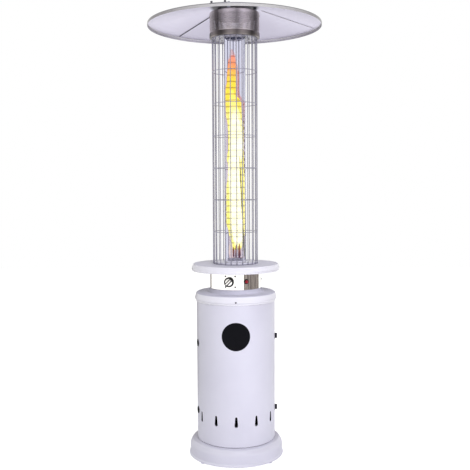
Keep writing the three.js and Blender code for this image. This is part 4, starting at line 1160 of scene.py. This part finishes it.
def ring_of_holes(count, ring_radius, hole_radius):
    return [circle(direction(360 * i / count) * ring_radius, hole_radius, 18) for i in range(count)]


def level(height):
    return lambda p: Vector((p[0], p[1], height))


deck_rim = revolve(sheet(rounded([
    (deck_radius, deck_foot, 0), (deck_radius, deck_top, 2), (deck_flat, deck_top, 0)], 5), sheet_wall), 96)
deck_holes = ring_of_holes(18, 93, 3.4) + [circle((0, 0), 47, 72)]
deck_faces = level(deck_top), level(deck_top - sheet_wall)
deck_plate = pierced(circle((0, 0), deck_flat, 96), deck_holes, [], *deck_faces)
retainer_inner, retainer_outer = glass_radius + 0.3, glass_radius + 1.8
retainer_foot, retainer_top = deck_top - 0.6, deck_top + 6
retainer = revolve([(retainer_inner, retainer_foot), (retainer_outer, retainer_foot),
                    (retainer_outer, retainer_top), (retainer_inner, retainer_top)], 96)
deck = make_piece("glass_deck", joined(deck_rim, deck_plate, retainer), body_steel)
fit(deck, "frame", "body_steel", "tube_deck")
glass_in, glass_mid = glass_radius - glass_wall, glass_radius - glass_wall + glass_bevel
glass_skin = [
    (glass_in, glass_foot + glass_bevel), (glass_mid, glass_foot), (glass_radius - glass_bevel, glass_foot),
    (glass_radius, glass_foot + glass_bevel), (glass_radius, glass_top - glass_bevel),
    (glass_radius - glass_bevel, glass_top), (glass_mid, glass_top), (glass_in, glass_top - glass_bevel)]
fit(make_piece("flame_tube", revolve(glass_skin, 128), tube_glass, 50), "frame", "tube_glass", "glass_tube")

# %% [markdown]
# ## Wire guard
# Twenty-four upright wires are welded to eight hoops. Everything repeats, so a tree stands round wires
# on a circle and lays hoops up a line. Its inputs are the guard's own sizes.
# %% Build the guard tree
guard_tree, given = geometry_tree("wire_guard", {
    "Radius": "Float", "Wire Radius": "Float", "Hoop Radius": "Float", "Wires": "Int", "Rings": "Int",
    "Foot": "Float", "Height": "Float", "Turn": "Float", "Finish": "Material"})


def guard_math(operation, first, second=0.0):
    return worked_out(guard_tree, operation, first, second)


def along_z(value):
    return node(guard_tree, "ShaderNodeCombineXYZ", {"Z": value}).outputs[0]


def circle_curve(sides, radius):
    inputs = {"Resolution": sides, "Radius": radius}
    return node(guard_tree, "GeometryNodeCurvePrimitiveCircle", inputs, mode="RADIUS").outputs["Curve"]


wire = node(guard_tree, "GeometryNodeMeshCylinder", {
    "Vertices": 12, "Radius": given["Wire Radius"], "Depth": given["Height"]}).outputs["Mesh"]
wire_feet = node(guard_tree, "GeometryNodeMeshCircle", {
    "Vertices": given["Wires"], "Radius": given["Radius"]}).outputs["Mesh"]
wires = node(guard_tree, "GeometryNodeInstanceOnPoints", {"Points": wire_feet, "Instance": wire})
half_height = guard_math("MULTIPLY", given["Height"], 0.5)
stood = node(guard_tree, "GeometryNodeTransform", {
    "Geometry": wires.outputs["Instances"], "Rotation": along_z(given["Turn"]),
    "Translation": along_z(guard_math("ADD", given["Foot"], half_height))})
hoop = node(guard_tree, "GeometryNodeCurveToMesh", {
    "Curve": circle_curve(120, given["Radius"]), "Profile Curve": circle_curve(10, given["Hoop Radius"])})
lowest = guard_math("ADD", given["Foot"], given["Wire Radius"])
spread = guard_math("SUBTRACT", given["Height"], guard_math("MULTIPLY", given["Wire Radius"], 2.0))
gap = guard_math("DIVIDE", spread, guard_math("SUBTRACT", given["Rings"], 1))
line = node(guard_tree, "GeometryNodeMeshLine", {
    "Count": given["Rings"], "Start Location": along_z(lowest), "Offset": along_z(gap)}, mode="OFFSET")
hoops = node(guard_tree, "GeometryNodeInstanceOnPoints", {
    "Points": line.outputs["Mesh"], "Instance": hoop.outputs["Mesh"]})
both = node(guard_tree, "GeometryNodeJoinGeometry")
guard_tree.links.new(stood.outputs["Geometry"], both.inputs[0])
guard_tree.links.new(hoops.outputs["Instances"], both.inputs[0])
finish_tree(guard_tree, realized(guard_tree, both.outputs["Geometry"]), given["Finish"])

# %% [markdown]
# The wires are turned by a quarter of the gap between two of them, because none stands exactly in
# front. The hoops are thinner than the wires, which keeps them as faint as the photo shows them.
# %% Make the guard
guard_radius, wire_radius, hoop_radius = 105, 2.25, 1.5
wire_count, hoop_count = 24, 8
guard_turn = 360 / wire_count / 4
guard_foot, guard_top = foot_of("wire_guard"), top_of("wire_guard")
guard = grown("guard_wires", guard_tree, {
    "Radius": guard_radius * MM, "Wire Radius": wire_radius * MM, "Hoop Radius": hoop_radius * MM,
    "Wires": wire_count, "Rings": hoop_count, "Foot": guard_foot * MM,
    "Height": (guard_top - guard_foot) * MM, "Turn": radians(guard_turn), "Finish": guard_chrome})
fit(guard, "frame", "guard_chrome", "wire_guard")

# %% [markdown]
# ## Head pan
# The head is a shallow pan, a perforated screen and a cap. The pan's floor lets air in through a ring
# of small holes near the edge and a ring of larger ones round the glass. The floor is pierced as a flat
# disc, and the rounded rim is turned on its own, so that its bend can have many more steps.
# %% Make the head pan
head_wall, floor_radius = 1, 107
head_radius = radius_of("head_cap")
pan_foot, pan_top = foot_of("head_plate"), top_of("head_plate")
floor_holes = ring_of_holes(28, 97, 3) + ring_of_holes(24, 68, 5) + [circle((0, 0), glass_radius + 0.6, 96)]
floor_faces = level(pan_foot + head_wall), level(pan_foot)
pan_floor = pierced(circle((0, 0), floor_radius, 120), floor_holes, [], *floor_faces)
fit(make_piece("head_floor", pan_floor, head_floor_steel), "frame", "head_steel", "head_plate")
pan_skin = rounded([(floor_radius, pan_foot, 0), (head_radius, pan_foot, 9.5), (head_radius, pan_top, 0)], 8)
head_rim = make_piece("head_rim", revolve(sheet(pan_skin, head_wall), 144), head_rim_painted_shade)
fit(head_rim, "frame", "head_steel")

# %% [markdown]
# ## Head screen and cap
# The hot gas leaves through the screen, which is the same perforated sheet as the vent, wrapped the
# whole way round. Plain bands close it below and above, and the cap has a rounded shoulder.
# %% Make the screen and the cap
screen_radius = radius_of("head_screen")
screen_foot, screen_top = foot_of("head_screen"), top_of("head_screen")
mesh_low, mesh_high = 2001.5, 2073.5
columns, rows, keep_all = 124, 15, 10.0
screen_pitch = 2 * pi * screen_radius / columns
hole_cell = cell("hole_cell", screen_pitch, 1.8, 0.8)
screen_mesh = grown("head_mesh", screen_tree, {
    "Cell": hole_cell, "Pitch": screen_pitch * MM, "Columns": columns, "Rows": rows, "Keep Radius": keep_all,
    "Wall Radius": screen_radius * MM, "Middle Height": (mesh_low + mesh_high) / 2 * MM,
    "Finish": head_steel})
bpy.data.objects.remove(hole_cell)
fit(screen_mesh, "frame", "head_steel", "head_screen")
band_skin = screen_radius + 0.15
plain_bands = [revolve(sheet([(band_skin, low), (band_skin, high)], head_wall), 144)
               for low, high in ((screen_foot, mesh_low), (mesh_high, screen_top))]
bands = make_piece("head_bands", joined(*plain_bands), head_steel)
fit(bands, "frame", "head_steel")
cap_foot, cap_top = foot_of("head_cap"), top_of("head_cap")
cap_skin = rounded([
    (head_radius, cap_foot, 0), (head_radius, cap_top - 4.9, 6), (head_radius - 6.2, cap_top - 1.3, 10),
    (head_radius - 15.6, cap_top, 8), (0, cap_top, 0)], 6)
cap = make_piece("head_lid", revolve(sheet(cap_skin, head_wall), 144), head_steel)
fit(cap, "frame", "head_steel", "head_cap")

# %% [markdown]
# The inside of the head is black with painted shade, so the holes in its floor look black from
# below. The underside of the cap is chosen by its normals too: they look down.
# %% Blacken the inside of the head
for made in (head_rim, screen_mesh, bands):
    recoat(made, painted_shade_black, looks_in)
recoat(cap, painted_shade_black, lambda face: looks_in(face) or face.normal.z < -0.5)

# %% [markdown]
# ## Reflector
# The dish is three pressed panels that meet at radial seams, so it packs flat. Each panel has a flat
# middle, a long slope and a rim that is turned down. The rim's bend and its wall mirror different
# things, so each gets its own finish, with those reflections painted into its colour.
# %% Make the reflector
panels = [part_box(f"reflector_panel_{i}") for i in (1, 2, 3)]
dish_low = min(low.z for low, high in panels) / MM
dish_high = max(high.z for low, high in panels) / MM
dish_radius = max(max(-low.x, high.x, -low.y, high.y) for low, high in panels) / MM
rim_top, flat_radius, hub_radius = dish_low + 14, 110, 12
rim_zone, panel_half_gap = 5, 0.15
seams = (-15, 105, 225)
gap_angle = degrees(panel_half_gap / flat_radius)
dish_skin = rounded([(dish_radius, dish_low, 0), (dish_radius, rim_top, 4), (flat_radius, dish_high, 30),
                     (hub_radius, dish_high, 0)], 8)


def on_rim(face):
    return outward(face).length > (dish_radius - rim_zone) * MM


def on_bend(face):
    return on_rim(face) and face.normal.z > 0.2 and face.normal.dot(outward(face).normalized()) > 0.2


for i, angle in enumerate(seams, 1):
    panel = revolve(sheet(dish_skin, 1), 64, angle + gap_angle, angle + 120 - gap_angle)
    made = make_piece(f"dish_panel_{i}", panel, dish_aluminium, 30)
    recoat(made, rim_bend_painted_reflection, on_bend)
    recoat(made, rim_wall_painted_reflection, lambda face: on_rim(face) and not on_bend(face))
    fit(made, "frame", "reflector_aluminium", f"reflector_panel_{i}")

# %% [markdown]
# Three studs with spacers and nuts hold the dish over the head. Further out, on top of the slope, a
# strip with two nuts bridges each seam.
# %% Make the studs and the seam strips
stud_ring, strip_ring, strip_half = 100, 269, 37
slope = atan2(dish_high - rim_top, dish_radius - 3 - flat_radius)
strip_height = dish_high - (strip_ring - flat_radius) * tan(slope)
lean = Matrix.Rotation(slope, 4, "X")
strip_nuts = [placed(rod(5, 1.8, 9.6, sides=6), Matrix.Translation((x, 0, 0))) for x in (-30.5, 30.5)]
strip = joined(bevelled_box((-strip_half, -10, 0.3), (strip_half, 10, 1.8), 0.4, 2), *strip_nuts)
for i, angle in enumerate(seams, 1):
    stud_low, stud_high = foot_of(f"reflector_stud_{i}"), top_of(f"reflector_stud_{i}")
    spacer = rod(8, stud_low, dish_high - 1.3, 0.6, 0.6, 40, 3)
    shank = rod(3.2, stud_low, stud_high, sides=24)
    nut = rod(6.5, dish_high + 0.3, stud_high - 0.1, sides=6)
    stud = placed(joined(spacer, shank, nut), Matrix.Translation(direction(angle) * stud_ring))
    made = make_piece(f"dish_stud_{i}", stud, zinc_steel, 40)
    fit(made, "frame", "zinc_steel", f"reflector_stud_{i}")
    turn = Matrix.Rotation(radians(angle), 4, "Z")
    place = Matrix.Translation(direction(angle) * strip_ring + Vector((0, 0, strip_height))) @ turn @ lean
    made = make_piece(f"seam_strip_{i}", placed(strip, place), dark_steel, 40)
    fit(made, "frame", "dark_steel", f"seam_clamp_{i}")

# %% [markdown]
# The panels lap at their seams. Each lap is drawn as a flat strip that follows the slope below the
# panel. The one at the back left is black with painted shade, so it shows as a dark line, and the
# others carry the rim wall's painted reflections.
# %% Lay the seam laps
painted_dark_seam = 225
lap_start, lap_end, lap_half, lap_wall = 132, dish_radius - 12, 2.2, 0.6
lap_length, lap_middle = (lap_end - lap_start) / cos(slope), (lap_start + lap_end) / 2
lap_height = dish_high - 1.7 - (lap_middle - flat_radius) * tan(slope)
lap = bevelled_box((-lap_length / 2, -lap_half, -lap_wall), (lap_length / 2, lap_half, 0), 0.1, 1)
dip = Matrix.Rotation(slope, 4, "Y")
for i, angle in enumerate(seams, 1):
    turn = Matrix.Rotation(radians(angle - 90), 4, "Z")
    place = Matrix.Translation(direction(angle) * lap_middle + Vector((0, 0, lap_height))) @ turn @ dip
    coat = painted_shade_black if angle == painted_dark_seam else rim_wall_painted_reflection
    fit(make_piece(f"seam_lap_{i}", placed(lap, place), coat, 40), "frame", "dark_steel")

# %% [markdown]
# ## Flame
# A flame has no surface of its own, so it is drawn as bodies of light inside the glass. The finish
# gives light only: a colour ramp follows the height, and its alpha says how much the body covers.
# Fine rungs across the flame and soft clouds keep it from looking like a solid.
# %% Make a flame finish
rung_scale, rung_waver, cloud_scale = 10.8, 0.4, 26


def flame_finish(name, stops, power, rung=0.5, broken=False):
    """Light from (height, colour, cover) stops; rung dims it at the rungs, broken thins it there."""
    made = bpy.data.materials.new(name)
    made.use_nodes = True
    tree = made.node_tree
    shader = tree.nodes["Principled BSDF"]
    shader.inputs["Base Color"].default_value = (0, 0, 0, 1)
    shader.inputs["Roughness"].default_value = 1
    shader.inputs["Specular IOR Level"].default_value = 0
    shader.inputs["Emission Strength"].default_value = power
    place = place_on_object(tree)
    height = node(tree, "ShaderNodeSeparateXYZ", {0: place}).outputs["Z"]
    foot, top = stops[0][0], stops[-1][0]
    ramp = node(tree, "ShaderNodeValToRGB", {"Fac": ranged(tree, height, 0, 1, foot * MM, top * MM)})
    tones = ramp.color_ramp.elements
    for between, _, _ in stops[1:-1]:
        tones.new((between - foot) / (top - foot))
    for stop, (_, tone, cover) in zip(tones, stops):
        stop.color = (*colour(*tone)[:3], cover)
    rungs = node(tree, "ShaderNodeTexWave", {
        "Vector": place, "Scale": rung_scale, "Distortion": rung_waver}, bands_direction="Z").outputs["Fac"]
    dimmed = node(tree, "ShaderNodeMix", {
        "Factor": 1, "A": ramp.outputs["Color"], "B": ranged(tree, rungs, rung, 1.0, 0.0, 0.2)},
        data_type="RGBA", blend_type="MULTIPLY").outputs["Result"]
    tree.links.new(dimmed, shader.inputs["Emission Color"])
    cloudy = ranged(tree, shared(tree, handling_group, Scale=cloud_scale), 0.78, 1)
    shown = worked_out(tree, "MULTIPLY", ramp.outputs["Alpha"], cloudy)
    if broken:
        shown = worked_out(tree, "MULTIPLY", shown, ranged(tree, rungs, 0.05, 1.0, 0.4, 0.6))
    tree.links.new(shown, shader.inputs["Alpha"])
    return made


print("flame finish ready")

# %% [markdown]
# A flame body is a stack of rings on a leaning centre line. The rings come from a few stations, which
# are given as a height with the left and right edge there, in millimetres. Anything that would reach
# through the glass is pushed back inside.
# %% Make a flame body
glass_clear = 47.0
rings_between, flame_sides = 4, 40


def flame_body(name, stations, coat, depth=0.9, front=0.0):
    """Front moves a body forward, from the middle of the tube at 0 to the glass at 1."""
    rows = []
    for (z0, l0, r0), (z1, l1, r1) in zip(stations, stations[1:]):
        for t in [i / rings_between for i in range(rings_between)]:
            ease = t * t * (3 - 2 * t)
            rows.append((z0 + (z1 - z0) * t, l0 + (l1 - l0) * ease, r0 + (r1 - r0) * ease))
    rows.append(stations[-1])
    verts = []
    for z, left, right in rows:
        centre, half = (left + right) / 2, (right - left) / 2
        forward = front * sqrt(max(glass_clear ** 2 - centre ** 2, 0))
        for turn in [2 * pi * j / flame_sides for j in range(flame_sides)]:
            x, y = centre + half * cos(turn), half * depth * sin(turn) - forward
            squeeze = min(1, glass_clear / hypot(x, y))
            verts.append((x * squeeze, y * squeeze, z))
    faces = []
    for row in [i * flame_sides for i in range(len(rows) - 1)]:
        for j in range(flame_sides):
            k = (j + 1) % flame_sides
            faces.append((row + j, row + k, row + flame_sides + k, row + flame_sides + j))
    faces.append(list(reversed(range(flame_sides))))
    faces.append([len(verts) - flame_sides + j for j in range(flame_sides)])
    fit(make_piece(name, (verts, faces), coat, 60), "frame", "tube_glass")


print("flame body ready")

# %% [markdown]
# The colours go from an orange skin over a yellow body and a pale glow to a white heart. Two dark
# tones are for a split in the flame and its broken edges, and the rose and violet ones for its foot.
# %% Mix the flame's colours
flame_skin = flame_finish("flame_skin", [
    (1560, (214, 160, 150), 0.2), (1700, (232, 112, 80), 0.34), (1820, (240, 124, 80), 0.36),
    (1923, (240, 156, 140), 0.25)], 1.0, 0.7)
flame_yellow = flame_finish("flame_yellow", [
    (1400, (255, 250, 110), 0.66), (1620, (255, 250, 110), 0.66), (1690, (255, 246, 60), 0.8),
    (1780, (255, 236, 60), 0.85), (1822, (255, 196, 84), 0.85), (1850, (250, 158, 92), 0.8),
    (1895, (246, 146, 116), 0.6)], 1.7, 0.4)
flame_pale = flame_finish("flame_pale", [
    (1100, (255, 255, 225), 0.6), (1600, (255, 255, 225), 0.6), (1735, (255, 254, 160), 0.7)], 2.4, 0.7)
flame_heart = flame_finish("flame_heart", [
    (1500, (255, 255, 250), 1.0), (1640, (255, 255, 236), 1.0)], 3.6, 0.8)
flame_edge = flame_finish("flame_edge", [(1100, (96, 100, 48), 0.85), (1450, (112, 96, 60), 0.85)], 0.9, 0.8)
flame_brown = flame_finish("flame_brown", [
    (1100, (104, 68, 50), 0.95), (1600, (84, 50, 50), 0.95)], 0.8, 0.9, True)
flame_blush = flame_finish("flame_blush", [
    (950, (250, 222, 220), 0.9), (1015, (255, 238, 214), 0.9)], 1.0, 0.9)
flame_streak = flame_finish("flame_streak", [
    (950, (86, 58, 92), 0.9), (1000, (168, 108, 60), 0.9)], 0.9, 0.9)
print("flame finishes", [m.name for m in bpy.data.materials if m.name.startswith("flame_")])

# %% [markdown]
# The four big bodies are nested: the skin fills the glass, and the heart stays in its middle. Their
# stations follow the swirl of the flame, which leans to the left as it climbs.
# %% Make the big flame bodies
flame_body("flame_outer", [
    (947, -25, 44), (1005, -32, 44), (1053, -32, 46), (1115, -46, 47), (1277, -46, 47), (1333, -42, 47),
    (1415, -44, 47), (1578, -42, 47), (1621, -47, 47), (1659, -47, 47), (1680, -47, 46), (1694, -47, 36),
    (1712, -47, 24), (1739, -46, 20), (1771, -40, 21), (1804, -38, 21), (1836, -35, 15), (1868, -31, 10),
    (1889, -26, 7), (1923, -18, -9)], flame_skin)
flame_body("flame_middle", [
    (986, -16, 27), (1029, -23, 39), (1067, -32, 44), (1115, -43, 45), (1277, -42, 45), (1333, -35, 45),
    (1381, -33, 44), (1415, -39, 42), (1469, -32, 39), (1523, -32, 40), (1578, -35, 39), (1621, -42, 32),
    (1680, -44, 30), (1693, -44, 22), (1708, -44, 9), (1739, -43, 5), (1771, -37, 5), (1804, -35, 9),
    (1868, -29, 4), (1895, -20, 1)], flame_yellow)
flame_body("flame_core", [
    (1015, -1, 27), (1043, -11, 33), (1113, -19, 32), (1168, -20, 29), (1224, -20, 26), (1278, -25, 23),
    (1333, -30, 21), (1400, -28, 21), (1428, -20, 32), (1470, -19, 35), (1523, -18, 33), (1578, -17, 24),
    (1610, -15, 15), (1640, -10, 4)], flame_heart)
flame_body("flame_glow", [
    (1003, -4, 30), (1043, -15, 36), (1113, -25, 37), (1168, -27, 34), (1224, -28, 31), (1278, -31, 28),
    (1333, -35, 26), (1400, -33, 26), (1428, -28, 36), (1470, -27, 40), (1523, -27, 39), (1578, -27, 33),
    (1621, -27, 24), (1660, -26, 12), (1700, -25, 2), (1735, -21, -6)], flame_pale)

# %% [markdown]
# Slim bodies, set toward the front of the tube, draw what breaks the flame up: a dark split in its
# right half, broken dark edges at both sides, and a rose blush with three dark streaks at its foot.
# %% Make the slim flame bodies
flame_body("flame_split", [
    (952, 40, 44), (1029, 36, 41.5), (1115, 32, 37), (1220, 27, 31.5), (1333, 22, 26.5), (1423, 20, 22)],
    flame_edge, 1, 0.85)
flame_body("flame_side", [
    (1330, 42, 46), (1409, 40, 46.5), (1503, 39, 46.5), (1588, 39, 46.5), (1645, 42, 45)],
    flame_brown, 1, 0.95)
flame_body("flame_brink", [
    (1096, -45, -42), (1148, -46, -42), (1220, -46.5, -42.5), (1253, -46, -44)], flame_brown, 1, 0.95)
flame_body("flame_blush", [
    (946, -28, -11), (971, -32, -13), (1000, -31, -14), (1019, -25, -16)], flame_blush, 1, 0.5)
flame_body("flame_streak_1", [(945, 0, 6), (957, -2, 8), (991, -1, 7), (1010, 1, 5)], flame_streak, 1, 0.6)
flame_body("flame_streak_2", [
    (947, 14, 22), (962, 12, 25), (991, 13, 23), (1015, 16, 20)], flame_streak, 1, 0.6)
flame_body("flame_streak_3", [(952, -13, -7), (981, -14, -7), (1000, -12, -9)], flame_streak, 1, 0.7)

# %% [markdown]
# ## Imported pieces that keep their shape
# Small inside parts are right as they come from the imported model. They only get a finish.
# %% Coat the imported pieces
coats = {
    zinc_steel: ["floor_plate", "catch_striker", "gas_valve_spindle", "burner_bracket", "pilot_tube",
                 "tube_collar"],
    brass: ["gas_valve_body", "gas_valve_plug", "hose_tail", "gas_pipe", "thermocouple"],
    black_plastic: ["catch_magnet", "igniter_body", "tilt_switch"],
    ceramic: ["spark_electrode"],
    pad_rubber: ["foot_pad_1", "foot_pad_2", "foot_pad_3", "foot_pad_4"],
}
for coat, names in coats.items():
    for name in names:
        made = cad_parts[name]
        made.data.materials.clear()
        made.data.materials.append(coat)
print("coated", sum(len(names) for names in coats.values()), "packed pieces")

# %% [markdown]
# ## Floor
# The floor is pale and glows by itself, so only a soft shadow is left on it. Seen through the glass it
# is plain white. In a reflection it is darker near the heater and gets brighter further out, so the
# steel has something to mirror.
# %% Lay the floor
def stage_mesh(name, verts, faces, coat):
    mesh = bpy.data.meshes.new(name)
    mesh.from_pydata(verts, [], faces)
    mesh.materials.append(coat)
    made = bpy.data.objects.new(name, mesh)
    scene.collection.objects.link(made)
    made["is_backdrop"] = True
    return made


floor_half = 8
floor_coat = bpy.data.materials.new("pale_floor")
floor_coat.use_nodes = True
tree = floor_coat.node_tree
shader = tree.nodes["Principled BSDF"]
shader.inputs["Roughness"].default_value = 0.9
shader.inputs["Specular IOR Level"].default_value = 0
shader.inputs["Emission Color"].default_value = (1, 1, 1, 1)
far = node(tree, "ShaderNodeVectorMath", {0: place_on_object(tree)}, operation="LENGTH").outputs["Value"]
seen_by = node(tree, "ShaderNodeLightPath").outputs
near_glow, far_glow = ranged(tree, far, 0.75, 1.6, 0.24, 0.7), ranged(tree, far, 0.3, 0.62, 3.0, 4.5)
mirror_glow = worked_out(tree, "MULTIPLY", near_glow, far_glow)
mirrored = worked_out(tree, "MULTIPLY", seen_by["Is Glossy Ray"], mirror_glow)
plain_glow = ranged(tree, far, 0.75, 0.85, 0.24, 0.7)
plain_view = worked_out(tree, "MULTIPLY", seen_by["Is Camera Ray"], plain_glow)
through = seen_by["Is Transmission Ray"]
power = worked_out(tree, "MAXIMUM", worked_out(tree, "MAXIMUM", plain_view, mirrored), through)
tree.links.new(power, shader.inputs["Emission Strength"])
tree.links.new(mixed(tree, through, (0.9, 0.9, 0.9, 1), (0, 0, 0, 1)), shader.inputs["Base Color"])
floor_corners = [(x * floor_half, y * floor_half, 0) for x, y in ((-1, -1), (1, -1), (1, 1), (-1, 1))]
stage_mesh("floor", floor_corners, [(0, 1, 2, 3)], floor_coat)
print("floor laid")

# %% [markdown]
# ## Reflection cards
# Polished steel needs something dark to mirror. Three mottled strips stand a metre from the axis, one
# at the right and two behind, and only reflections see them.
# %% Stand the cards
def card_arc(start, end, steps, low, high):
    """An upright strip on a circle of one metre round the heater."""
    angles = [radians(start + (end - start) * i / steps) for i in range(steps + 1)]
    verts = [(sin(a), -cos(a), z) for a in angles for z in (low, high)]
    return verts, [(2 * i, 2 * i + 2, 2 * i + 3, 2 * i + 1) for i in range(steps)]


card_low, card_middle, card_high = 0.02, 0.62, 0.84
card_coat = bpy.data.materials.new("dark_card")
card_coat.use_nodes = True
tree = card_coat.node_tree
shader = tree.nodes["Principled BSDF"]
shader.inputs["Base Color"].default_value = (0.01, 0.01, 0.01, 1)
shader.inputs["Specular IOR Level"].default_value = 0
shader.inputs["Emission Strength"].default_value = 1
mottle = mixed(tree, clouds(9)(tree), colour(84, 74, 76), colour(168, 160, 156))
tree.links.new(mottle, shader.inputs["Emission Color"])
strips = joined(card_arc(35, 123, 16, card_middle, card_high), card_arc(-178, -135, 8, card_low, card_high),
                card_arc(152, 178, 6, card_low, card_high))
card = stage_mesh("dark_card", *strips, card_coat)
card.visible_camera = False
card.visible_diffuse = False
card.visible_shadow = False
card.visible_transmission = False
print("cards", len(card.data.polygons), "faces")

# %% [markdown]
# The screw that the sets were made from is thrown away. The box round the finished pieces is then
# printed next to the imported one.
# %% Print the size and finish
bpy.data.objects.remove(screw_model)
visual_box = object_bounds()
for label, box in (("cad", cad_box), ("visual", visual_box)):
    print(label, [tuple(round(x, 4) for x in corner) for corner in box])
